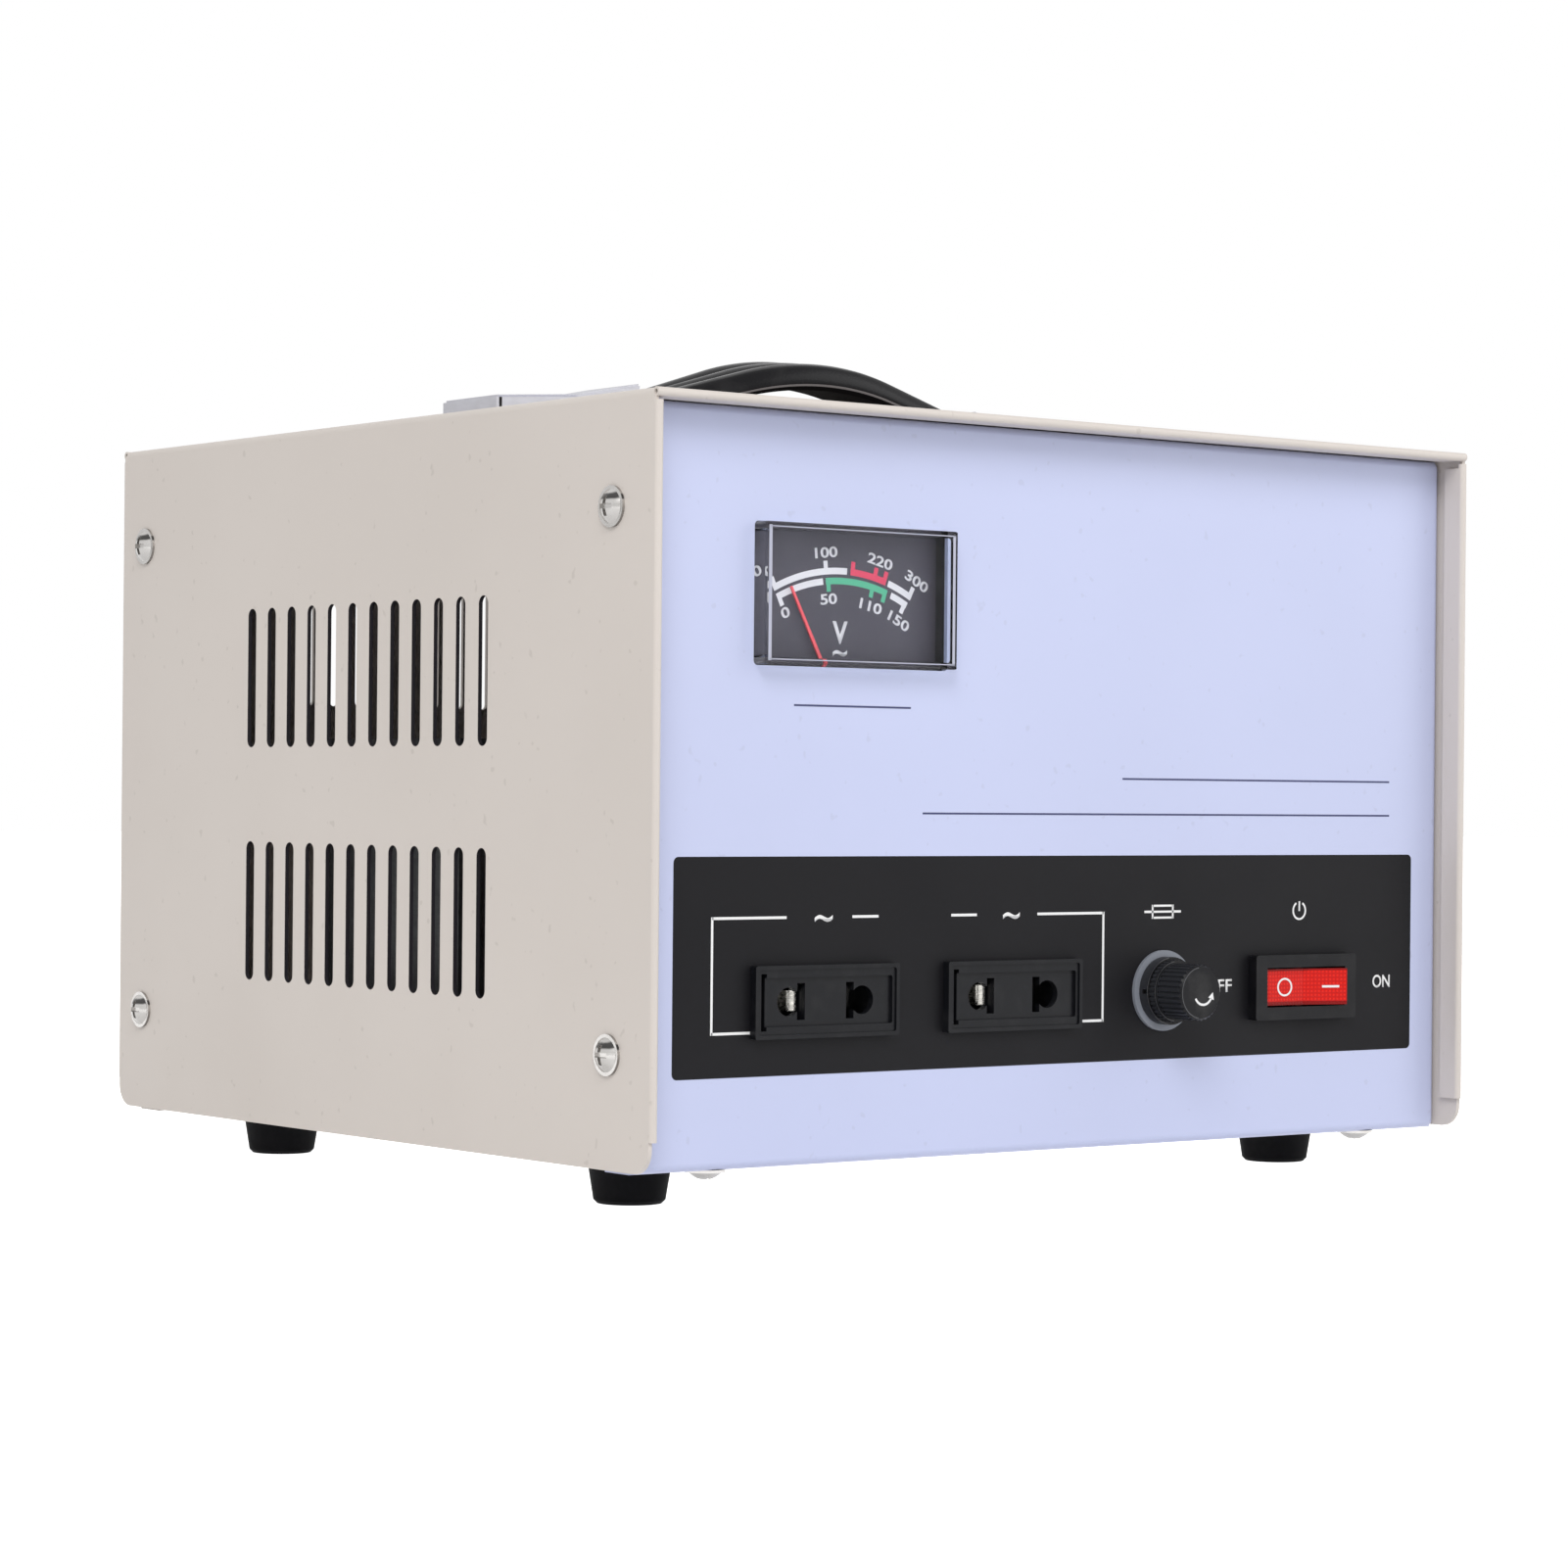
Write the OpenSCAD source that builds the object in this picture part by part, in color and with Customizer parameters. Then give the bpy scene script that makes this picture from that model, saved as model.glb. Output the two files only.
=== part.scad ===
// Relay-type voltage stabilizer in a folded steel case with a strap handle.
// Millimetres, +Z up, front at -Y, origin on the floor under the middle of the whole.
// The modules work in the case's own frame: X from the middle of the case, Y back
// from the front edge of the cover, Z up from the lower edge of the cover.

/* [Cover] */
// Width of the folded cover over its sides
cover_w = 230; // [215:1:260]
// Depth of the cover from its front edge to its rear edge
cover_d = 217; // [210:1:250]
// Height of the cover's sides
cover_h = 155; // [150:1:190]
// Thickness of the painted sheet
sheet_t = 0.95; // [0.8:0.05:1.2]
// Outer radius of the long top bends
cover_bend_r = 1.6; // [1.4:0.1:3]
// Width of the hem folded back inside the front and rear edges
hem_w = 5.5; // [4:0.5:6.5]
// Radius of the lower corners of each side
side_corner_r = 5; // [3:0.5:6]
// Height above the lower edge at which a side hem starts
hem_start_h = 6.5; // [6:0.5:10]

/* [Side vents] */
// Number of slots in a row
vent_count = 12; // [8:1:13]
// Distance from one slot to the next
vent_pitch = 8.6; // [6:0.2:10]
// Width of a slot
vent_w = 3.5; // [2.5:0.1:4]
// Length of a slot over its round ends
vent_len = 31.3; // [24:0.5:36]
// Height of the lower row above the cover's lower edge
vent_low_z = 32.1; // [30:0.5:40]
// Rise from the lower row to the upper row
vent_row_rise = 52.5; // [44:0.5:56]

/* [Side screws] */
// Distance of the front screws from the cover's front edge
side_screw_front = 15; // [13:0.5:18]
// Distance of the rear screws from the cover's rear edge
side_screw_rear = 11.4; // [11.4:0.2:18]
// Height of the lower side screws
side_screw_low_z = 23; // [20:0.5:28]
// Drop of the upper side screws below the cover's top
side_screw_drop = 22.9; // [18:0.1:27]

/* [Screws] */
// Radius of the case screws' shafts
case_screw_r = 1.7; // [1.5:0.05:2]
// Radius of the flange under a case screw's head
case_screw_flange_r = 4.2; // [3.6:0.1:4.8]
// Radius of the domed part of a case screw's head
case_screw_dome_r = 3.5; // [3:0.1:3.6]
// Height of the domed part of a case screw's head
case_screw_dome_h = 1.6; // [1.2:0.1:2.2]
// Width of a case nut across its flats
case_nut_w = 5.6; // [5.2:0.1:5.6]
// Height of a case nut
case_nut_h = 2.6; // [2:0.2:3.2]
// Play between a screw and its hole
screw_gap = 0.2; // [0.1:0.05:0.4]

/* [Panels] */
// Setback of the front and rear panels from the cover's edges
panel_recess = 7.5; // [6.5:0.5:10]
// Thickness of the panels
panel_t = 1; // [0.8:0.1:1.5]
// Play between a panel and the cover's sides
panel_side_gap = 0.4; // [0.2:0.1:0.8]
// Play between a panel and the cover's top
panel_top_gap = 0.8; // [0.4:0.1:1.5]
// Outer radius of the panels' bends
panel_bend_r = 1.7; // [1.5:0.1:3]
// Depth of a panel's side flanges, measured from its face
panel_side_flange = 20; // [18:0.5:26]
// Depth of a panel's bottom and top flanges, measured from its face
panel_end_flange = 10; // [9:0.5:14]
// Drop of the bottom flange below the cover's lower edge
panel_drop = 0.5; // [0:0.1:1]

/* [Rear vents] */
// Number of slots in the rear panel
rear_vent_count = 20; // [10:2:24]
// Distance from one rear slot to the next
rear_vent_pitch = 7.2; // [6:0.2:8]
// Width of a rear slot
rear_vent_w = 2.6; // [2:0.2:3.6]
// Length of a rear slot
rear_vent_len = 33; // [24:1:40]
// Drop of the rear slots' upper ends below the cover's top
rear_vent_drop = 26.5; // [20:0.5:32]

/* [Base] */
// Thickness of the base plate
base_t = 1.2; // [1:0.1:2]
// Play between the base plate and the panels
base_gap = 0.4; // [0.2:0.1:0.8]
// Height of the base plate's upturned sides
base_side_h = 12; // [8:0.5:14]
// Distance of the base screws from the cover's sides
base_screw_inset = 22.5; // [16:0.5:30]

/* [Feet] */
// Height of a rubber foot
foot_h = 10; // [8:0.5:16]
// Radius of a foot where it meets the base
foot_top_r = 9; // [7.5:0.5:12]
// Radius of a foot at the floor
foot_bottom_r = 7.5; // [6.5:0.5:9]
// Distance of a foot's middle from the cover's side
foot_inset_x = 22.4; // [18:0.1:30]
// Distance of a foot's middle from the cover's front or rear edge
foot_inset_y = 38.5; // [34:0.5:44]
// Radius of the pocket for the screw head in a foot
foot_pocket_r = 4.4; // [4:0.1:4.8]

/* [Handle] */
// Width of the handle strap
strap_w = 19.4; // [18:0.2:24]
// Thickness of the strap's ends under the caps, over its ribs
strap_t = 4.8; // [4:0.1:5]
// Thickness of the strap at its crown, over its ribs
strap_crown_t = 6.1; // [5:0.1:7]
// Height of the strap's crown above the cover
strap_rise = 20.8; // [17:0.1:26]
// Radius of the arch along the strap's underside
arch_r = 84; // [78:1:110]
// Radius of the bend where the strap leaves its end cap
strap_bend_r = 18; // [12:0.5:24]
// Distance from the middle of the handle to the outer end of a cap
cap_reach = 88; // [84:0.5:96]
// Distance from the middle of the handle to the inner end of a cap
cap_mouth = 49.5; // [46:0.5:54]
// Length over which a cap flares up towards its inner end
cap_flare_len = 16.5; // [10:0.5:20]
// Rise of a cap over that length
cap_flare_rise = 3.4; // [2:0.1:5]
// Rise of a cap's top from its outer end to the flare
cap_slope_rise = 1.5; // [0:0.1:2.5]
// Height of an end cap above the cover at its outer end
cap_h = 7.1; // [6.8:0.1:8]
// Thickness of an end cap's sheet
cap_t = 0.9; // [0.7:0.1:1.2]
// Distance from the middle of the handle to a handle screw
handle_screw_x = 74; // [70:0.5:78]
// Radius of a handle screw's shaft
handle_screw_r = 2.45; // [2:0.05:2.6]

/* [Meter] */
// Place of the meter's middle left of the case's middle, as a share of the cover's width
meter_share = 0.2596; // [0.24:0.005:0.28]
// Drop of the meter window's middle below the cover's top
meter_drop = 39.2; // [36:0.1:44]
// Width of the clear window
meter_w = 50.5; // [46:0.1:56]
// Height of the clear window
meter_h = 28.8; // [26:0.1:32]
// How far the window stands out of the panel
meter_proud = 3.8; // [2:0.1:4.5]
// Wall of the clear window
meter_wall = 1.4; // [1.1:0.1:2]
// Width of the flat cut along the clear window's front edges
meter_chamfer = 0.5; // [0.3:0.1:0.9]
// Drop of the pointer's pivot below the window's middle
pivot_drop = 23.8; // [20:0.1:26]
// Length of the pointer from its pivot to its tip
pointer_len = 29; // [24:0.1:31]
// Depth of the meter's case behind its flange
meter_case_d = 24; // [20:0.5:30]
// Turn of the pointer to the left of upright at rest
pointer_rest = 28; // [0:0.5:34]

/* [Sockets] */
// Place of the sockets' middle left of the case's middle, as a share of the cover's width
sockets_share = 0.1796; // [0.17:0.005:0.2]
// Distance from one socket to the other
socket_pitch = 50.6; // [44:0.1:56]
// Height of the row of sockets, fuse and switch
control_z = 33; // [30:0.1:36]
// Width of a socket's bezel
socket_w = 37.4; // [34.5:0.1:40]
// Height of a socket's bezel
socket_h = 14.9; // [14.2:0.1:18]
// How far a socket's bezel stands out of the panel
socket_proud = 2; // [1.5:0.1:3]
// Half the distance between the flat slots
blade_x = 6.35; // [6.2:0.05:6.4]
// Half the distance between the round holes
pin_x = 9.5; // [9.4:0.05:9.6]
// Radius of a round hole
pin_r = 2.95; // [2.9:0.05:3]
// Width of a flat slot
blade_w = 2; // [1.9:0.05:2.2]
// Height of a flat slot
blade_h = 7.5; // [7:0.1:8]
// Depth of a socket's body behind the panel
socket_body_d = 20; // [18:0.5:26]

/* [Fuse] */
// Place of the fuse holder right of the case's middle, as a share of the cover's width
fuse_share = 0.12; // [0.11:0.005:0.13]
// Radius of the grey washer ring
fuse_ring_r = 8.8; // [8.2:0.05:9.5]
// Radius of the fuse holder's flange
fuse_flange_r = 7.4; // [7.3:0.05:8]
// Radius of the fuse holder's threaded tube
fuse_tube_r = 6; // [5.8:0.1:6.4]
// Radius of the knurled cap
fuse_cap_r = 6.1; // [5.6:0.1:6.6]
// How far the cap's face stands out of the panel
fuse_reach = 12.4; // [10:0.1:13]
// Radius of the cap's stem
fuse_stem_r = 4.65; // [4.4:0.05:4.8]
// Running play of the stem in its tube
fuse_play = 0.07; // [0.04:0.01:0.1]
// Radius of the fuse link's metal ends
fuse_link_r = 2.6; // [2.5:0.05:2.7]
// Length of the fuse link
fuse_link_len = 20; // [19:0.5:21]

/* [Switch] */
// Place of the switch right of the case's middle, as a share of the cover's width
switch_share = 0.3013; // [0.29:0.005:0.32]
// Width of the switch's bezel
switch_w = 31.2; // [30.6:0.1:34]
// Height of the switch's bezel
switch_h = 14.5; // [14:0.1:17]
// How far the bezel stands out of the panel
switch_proud = 2.6; // [2:0.1:3.2]
// Length of the rocker
rocker_w = 23.6; // [22:0.1:25]
// Height of the rocker
rocker_h = 8.1; // [7.4:0.1:9]
// Play round the rocker in its opening
rocker_gap = 0.35; // [0.3:0.05:0.5]
// Tilt of the rocker from its middle position
rocker_tilt = 9; // [7:0.5:10]
// Depth of the switch body behind the panel
switch_body_d = 20; // [18:0.5:26]

/* [Transformer] */
// Width of the laminated core
core_w = 102; // [96:1:108]
// Height of the laminated core
core_h = 85; // [80:1:88]
// Thickness of the lamination stack
core_stack = 55; // [45:1:60]
// Place of the transformer's middle behind the front edge, as a share of the cover's depth
core_share = 0.59; // [0.55:0.01:0.62]

/* [Control board] */
// Width of the control board
board_w = 78; // [70:1:84]
// Depth of the control board
board_d = 112; // [96:1:124]
// Place of the board's middle behind the front edge, as a share of the cover's depth
board_share = 0.488; // [0.46:0.005:0.52]
// Height of the standoffs
standoff_h = 8; // [6:0.5:12]

/* [Cord entry] */
// Middle of the cord gland from the case's middle
gland_x = 70; // [60:1:80]
// Height of the cord gland
gland_z = 26; // [24:0.5:34]
// Radius of the gland's bore, for a round mains cord
gland_bore_r = 4.2; // [3.5:0.1:5]
// Radius of the gland's sleeve
gland_sleeve_r = 6.4; // [6:0.1:7.5]
// Radius of the gland's collar outside the rear panel
gland_collar_r = 9.5; // [9:0.1:11]

/* [Hidden] */
$fn = 48;

// One overrun serves every cut
over = 1;

// Places shared by the cover, panels and base
inner_half_w = cover_w / 2 - sheet_t;
panel_half_w = inner_half_w - panel_side_gap;
panel_low_z = -panel_drop;
panel_high_z = cover_h - sheet_t - panel_top_gap;
base_under_z = panel_low_z + panel_t;
base_top_z = base_under_z + base_t;
base_half_w = panel_half_w - panel_t - base_gap;
base_front_y = panel_recess + panel_t + base_gap;
base_rear_y = cover_d - base_front_y;
base_screw_y = panel_recess + panel_end_flange / 2;
floor_z = base_under_z - foot_h;
front_reach = fuse_reach - panel_recess;
origin_y = (cover_d - front_reach) / 2;

// Places that follow the cover's size
side_screw_high_z = cover_h - side_screw_drop;
rear_vent_z = cover_h - rear_vent_drop - rear_vent_len;
meter_x = -meter_share * cover_w;
meter_z = cover_h - meter_drop;
sockets_x = -sockets_share * cover_w;
fuse_x = fuse_share * cover_w;
switch_x = switch_share * cover_w;

// What the transformer and the board leave free is shared out beside and between them
spare_w = 2 * inner_half_w - core_w - board_w;
core_side_share = 0.4;
board_side_share = 0.35;
core_x = -inner_half_w + core_side_share * spare_w + core_w / 2;
core_y = core_share * cover_d;
board_x = inner_half_w - board_side_share * spare_w - board_w / 2;
board_front = board_share * cover_d - board_d / 2;

// The top hem's roll shows its hollow at both ends
hem_end_inset = 0.3;
hem_hollow_r = 0.5;
hem_hollow_d = 1.5;

// Side vents
vent_span = (vent_count - 1) * vent_pitch;
vent_first_y = (cover_d - vent_span) / 2;

// Screw details
screw_flange_h = 0.6;
recess_w = 1;
recess_len = 4;
recess_depth = 1.1;
foot_screw_dome_h = 1.6;
foot_seat_t = 4;

// Handle details
strap_z = cover_h + cap_t;
strap_y = cover_d / 2;
strap_swell = strap_crown_t / strap_t - 1;
arch_rise = strap_rise - strap_crown_t - cap_t;
strap_slope = acos(1 - arch_rise / (arch_r + strap_bend_r));
arch_half = (arch_r + strap_bend_r) * sin(strap_slope);
arch_centre_z = strap_z + arch_rise - arch_r;
strap_edge = 0.7;
strap_slab_share = 0.87;
strap_slab_t = strap_t * strap_slab_share;
strap_end_gap = 3;
strap_end_x = -cap_reach + cap_t + strap_end_gap;
bend_steps = 8;
arch_steps = 24;
rib_count = 3;
rib_share = 0.24;
rib_pitch_share = 0.32;
rib_w = strap_w * rib_share;
rib_pitch = strap_w * rib_pitch_share;
cap_clear = 0.1;
cap_edge = 0.5;
cap_seam_w = 0.8;
handle_nut_w = 12;
handle_nut_h = 2.6;
handle_nut_play = 0.2;
handle_dome_r = 4.6;
handle_dome_h = 2.4;
handle_flange_r = 5.4;

// Meter details
meter_face_y = panel_recess - meter_proud;
meter_flange_y = panel_recess + panel_t;
meter_flange_t = 1.4;
meter_case_y = meter_flange_y + meter_flange_t;
meter_case_side = 3;
meter_case_w = meter_w + 2 * meter_case_side;
meter_case_over = 3;
meter_case_under = 9;
meter_case_wall = 1.6;
meter_high_z = meter_z + meter_h / 2 + meter_case_over;
pivot_z = meter_z - pivot_drop;
meter_low_z = pivot_z - meter_case_under;
meter_back_y = meter_case_y + meter_case_d;
meter_cut_gap = 0.2;
needle_t = 0.4;
needle_w = 1;
needle_tip_w = 0.5;
needle_gap = 0.9;
needle_y = meter_case_y + needle_gap;
needle_tail = 4.5;
hub_r = 2.1;
hub_t = 1.1;
dial_gap = 0.8;
dial_y = needle_y + needle_t + dial_gap;
dial_t = 0.8;
dial_drop = 16.4;
dial_rise = 15.3;
dial_play = 0.5;
dial_post_r = 2.2;
shaft_r = 0.5;
shaft_play = 0.05;
shaft_end_gap = 0.3;
vane_w = 4.6;
vane_t = 0.4;
frame_bar_t = 1.2;
frame_bar_h = 5;
frame_gap = 0.5;
coil_r = 7;
coil_core_r = 3.4;
coil_flange_t = 1;
coil_wind_r = 6.4;
coil_len = 9;
rear_bearing_r = 2;
rear_bearing_d = 2.4;
stud_out = 5.5;
stud_r = 1.45;
stud_nut_w = 5.5;
stud_nut_h = 2.3;
stud_spare = 1.2;
bridge_h = 12;
bridge_t = 1.5;

// Socket details
socket_rim_x = 1.65;
socket_rim_z = 2.5;
socket_recess_w = socket_w - 2 * socket_rim_x;
socket_recess_h = socket_h - 2 * socket_rim_z;
socket_recess_d = 1.1;
socket_step_rim = 0.85;
socket_step_w = socket_w - 2 * socket_step_rim;
socket_step_h = socket_h - 2 * socket_step_rim;
socket_step_d = 0.4;
socket_groove_w = 1.4;
socket_groove_h = 11.6;
socket_groove_d = 2.4;
socket_ledge_x = 1.3;
socket_ledge_z = 1.15;
socket_body_w = socket_w - 2 * socket_ledge_x;
socket_body_h = socket_h - 2 * socket_ledge_z;
socket_face_t = 1.5;
socket_cell_in = 4.85;
socket_cell_out = 13.3;
socket_cell_h = 8.6;
socket_back_t = 1.6;
socket_cut_gap = 0.2;
socket_edge_r = 0.5;
contact_t = 0.45;
contact_h = 4.2;
contact_start = 3;
contact_lip = 0.85;
contact_lip_len = 1.2;
contact_grip = 0.12;
contact_tip_t = 0.2;
contact_far_start = 7;
contact_play = 0.02;
contact_tab_w = 4.8;
contact_tab_t = 0.8;
contact_tab_len = 9;

// Fuse details
fuse_ring_t = 0.8;
fuse_flange_t = 2.4;
fuse_face_y = panel_recess - fuse_reach;
fuse_flange_y = panel_recess - fuse_ring_t;
fuse_mouth_y = fuse_flange_y - fuse_flange_t;
fuse_rim_gap = 0.15;
fuse_rim_y = fuse_mouth_y - fuse_rim_gap;
fuse_rim_t = 1.5;
fuse_rim_out = 0.75;
fuse_rim_r = fuse_cap_r + fuse_rim_out;
fuse_tube_len = 32;
fuse_tube_y = fuse_flange_y + fuse_tube_len;
fuse_stem_len = 12;
fuse_deep_r = 3.1;
fuse_link_back = 23.5;
fuse_link_y = fuse_link_back - fuse_link_len + panel_recess;
fuse_end_len = 5;
fuse_glass_r = 2.35;
fuse_link_play = 0.08;
fuse_nut_w = 16;
fuse_nut_h = 3;
knurl_count = 32;
knurl_r = 0.32;
rim_knurl_count = 40;
rim_knurl_r = 0.28;
cap_chamfer = 0.5;
fuse_hole_gap = 0.1;
fuse_notch_w = 1;
fuse_lug_w = 4.8;
fuse_lug_t = 0.8;
fuse_lug_len = 8;
fuse_button_r = 2.4;
fuse_button_t = 1.6;

// Switch details
switch_face_y = panel_recess - switch_proud;
switch_ledge_x = 1.6;
switch_ledge_z = 0.85;
switch_body_w = switch_w - 2 * switch_ledge_x;
switch_body_h = switch_h - 2 * switch_ledge_z;
switch_edge_r = 0.7;
switch_cut_gap = 0.15;
switch_well_d = 11;
rocker_pivot_drop = 3.4;
rocker_pivot_y = switch_face_y + rocker_pivot_drop;
rocker_face_drop = 0.9;
rocker_end_r = rocker_w / 2;
rocker_boss_r = 2.6;
rocker_pin_r = 1.3;
rocker_pin_len = 1.2;
rocker_pin_play = 0.06;
rocker_keel = 1.4;
switch_tab_w = 4.8;
switch_tab_t = 0.8;
switch_tab_len = 8;
switch_tab_pitch = 9;

// Transformer details, in the proportions of a standard lamination
core_leg = core_w / 3;
core_yoke = core_w / 6;
core_window_h = core_h - 2 * core_yoke;
core_hole_r = 2.3;
core_hole_inset = 6.5;
bobbin_play = 0.3;
bobbin_t = 1.2;
winding_gap = 0.5;
winding_edge_r = 9;
bobbin_half_w = core_leg / 2 + bobbin_play;
bobbin_half_d = core_stack / 2 + bobbin_play;
winding_build = core_yoke - bobbin_play - bobbin_t - winding_gap;
bracket_t = 2;
bracket_foot = 14;
bracket_short = 1;
bracket_h = core_yoke - bracket_short;
core_bolt_r = 2.1;
core_bolt_dome_r = 4;
core_bolt_dome_h = 2.2;
core_nut_w = 7;
core_nut_h = 3.2;
bracket_bolt_x = 30;
bracket_bolt_room = 8;

// Board details
board_t = 1.6;
board_z = base_top_z + standoff_h;
board_top_z = board_z + board_t;
board_hole_inset = 5;
board_hole_share = 0.1;
board_screw_r = 1.45;
board_nut_w = 5.5;
board_nut_h = 2.4;
relay_w = 19;
relay_d = 15.6;
relay_h = 15.4;
relay_pitch = 17.1;
relay_edge_r = 0.8;
relay_x = board_w / 2 - 2 * board_hole_inset - relay_w / 2;
part_gap = 4;
big_cap_r = 8;
big_cap_h = 24;
small_cap_r = 5;
small_cap_h = 13;
cap_groove_w = 0.6;
cap_groove_z_share = 0.9;
sink_w = 26;
sink_d = 14;
sink_h = 34;
sink_back_t = 3;
fin_count = 6;
fin_t = 1.4;
terminal_w = board_w - 4 * board_hole_inset;
terminal_d = 9;
terminal_h = 11;
terminal_poles = 8;
terminal_screw_r = 1.9;
terminal_inset = 3;
terminal_y = board_front + terminal_inset;
parts_y = terminal_y + terminal_d + part_gap;
relay_row = board_front + board_d - terminal_inset - parts_y;
relay_count = floor(relay_row / relay_pitch);
big_cap_y = parts_y + big_cap_r;
small_cap_y = big_cap_y + big_cap_r + part_gap + small_cap_r;
sink_y = small_cap_y + small_cap_r + part_gap;

// Rear details
gland_collar_t = 5;
gland_sleeve_len = 13;
gland_hole_gap = 0.1;
gland_nut_w = 18;
gland_nut_h = 4.5;
gland_flat_share = 0.88;
earth_x = 40;
earth_z = 26;

// Moves the whole from the case's frame to the part's own
module place() {
    translate([0, -origin_y, -floor_z]) children();
}

// A block between two values on each axis
module block(x, y, z) {
    translate([x[0], y[0], z[0]]) cube([x[1] - x[0], y[1] - y[0], z[1] - z[0]]);
}

// A round bar along X, Y or Z from one value to another
module bar_x(x, y, z, r) {
    translate([x[0], y, z]) rotate([0, 90, 0]) cylinder(r = r, h = x[1] - x[0]);
}

module bar_y(x, y, z, r) {
    translate([x, y[0], z]) rotate([-90, 0, 0]) cylinder(r = r, h = y[1] - y[0]);
}

module bar_z(x, y, z, r) {
    translate([x, y, z[0]]) cylinder(r = r, h = z[1] - z[0]);
}

// A flat outline with round corners about its middle
module round_rect(w, h, r) {
    square([w - 2 * r, h], center = true);
    square([w, h - 2 * r], center = true);
    for (sx = [-1, 1], sy = [-1, 1])
        translate([sx * (w / 2 - r), sy * (h / 2 - r)]) circle(r = r);
}

// A plate that faces the front, with round corners, from one depth to another
module face_plate(x, y, z, w, h, r) {
    translate([x, y[1], z]) rotate([90, 0, 0]) linear_extrude(y[1] - y[0]) round_rect(w, h, r);
}

// Both sides, and both ends, of the case
module both_sides() {
    children();
    mirror([1, 0, 0]) children();
}

module both_ends() {
    children();
    translate([0, cover_d, 0]) mirror([0, 1, 0]) children();
}

// A cross-recessed screw: shaft up from zero, head below
module screw(shaft_r, shaft_len, flange_r, dome_r, dome_h) {
    ball_r = (dome_r * dome_r + dome_h * dome_h) / (2 * dome_h);
    cylinder(r = shaft_r, h = shaft_len);
    translate([0, 0, -screw_flange_h]) cylinder(r = flange_r, h = screw_flange_h);
    difference() {
        intersection() {
            translate([0, 0, ball_r - dome_h - screw_flange_h]) sphere(r = ball_r);
            translate([0, 0, -dome_h - screw_flange_h]) cylinder(r = dome_r, h = dome_h);
        }
        for (turn = [0, 90]) rotate([0, 0, turn])
            translate([-recess_len / 2, -recess_w / 2, -dome_h - screw_flange_h])
                cube([recess_len, recess_w, recess_depth]);
    }
}

// A hexagon nut that sits on zero, with its bore
module nut(bore_r, flats, h) {
    difference() {
        cylinder(r = flats / 2 / cos(30), h = h, $fn = 6);
        translate([0, 0, -over]) cylinder(r = bore_r, h = h + 2 * over);
    }
}

// The case's folded sheet

module cover_outline(shrink) {
    w = cover_w - 2 * shrink;
    h = cover_h - shrink;
    r = cover_bend_r - shrink;
    translate([-w / 2, 0]) square([w, h - r]);
    translate([-w / 2 + r, 0]) square([w - 2 * r, h]);
    for (sx = [-1, 1]) translate([sx * (w / 2 - r), h - r]) circle(r = r);
}

module cover_sheet() {
    translate([0, cover_d - sheet_t, 0]) rotate([90, 0, 0])
        linear_extrude(cover_d - 2 * sheet_t) difference() {
            cover_outline(0);
            cover_outline(sheet_t);
            translate([-inner_half_w, -over]) square([2 * inner_half_w, 2 * over]);
        }
}

module side_hem() {
    high_z = cover_h - cover_bend_r - sheet_t;
    bar_z(cover_w / 2 - sheet_t, sheet_t, [hem_start_h, high_z], sheet_t);
    block([inner_half_w - sheet_t, inner_half_w], [sheet_t, hem_w], [hem_start_h, high_z - sheet_t]);
}

module top_hem() {
    half = cover_w / 2 - cover_bend_r - sheet_t;
    roll_half = cover_w / 2 - hem_end_inset;
    bar_x([-roll_half, roll_half], sheet_t, cover_h - sheet_t, sheet_t);
    block([-half, half], [sheet_t, hem_w], [cover_h - 2 * sheet_t, cover_h - sheet_t]);
}

module hem_hollows() {
    roll_half = cover_w / 2 - hem_end_inset;
    both_sides() bar_x([roll_half - hem_hollow_d, roll_half + over], sheet_t, cover_h - sheet_t,
        hem_hollow_r);
}

module lower_corner_cut() {
    difference() {
        block([-cover_w, cover_w], [sheet_t - over, side_corner_r + sheet_t], [-over, side_corner_r]);
        bar_x([-cover_w, cover_w], side_corner_r + sheet_t, side_corner_r, side_corner_r);
    }
}

module vent_cut(y, z) {
    low = z + vent_w / 2;
    high = z + vent_len - vent_w / 2;
    block([-cover_w, cover_w], [y - vent_w / 2, y + vent_w / 2], [low, high]);
    bar_x([-cover_w, cover_w], y, low, vent_w / 2);
    bar_x([-cover_w, cover_w], y, high, vent_w / 2);
}

// Calls its children at each of the four screw places on one side
module at_side_screws() {
    for (y = [side_screw_front, cover_d - side_screw_rear])
        for (z = [side_screw_low_z, side_screw_high_z])
            translate([0, y, z]) children();
}

module cover() {
    color("#d8d2c6") place() difference() {
        union() {
            cover_sheet();
            both_ends() {
                both_sides() side_hem();
                top_hem();
            }
        }
        both_ends() {
            lower_corner_cut();
            hem_hollows();
        }
        for (i = [0 : vent_count - 1], row = [0, 1])
            vent_cut(vent_first_y + i * vent_pitch, vent_low_z + row * vent_row_rise);
        at_side_screws() bar_x([-cover_w, cover_w], 0, 0, case_screw_r + screw_gap);
        both_sides() bar_z(handle_screw_x, strap_y, [cover_h - cover_bend_r, cover_h + over],
            handle_screw_r + screw_gap);
    }
}

// A panel is a shallow tray: face, side flanges, and shorter top and bottom flanges

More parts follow.
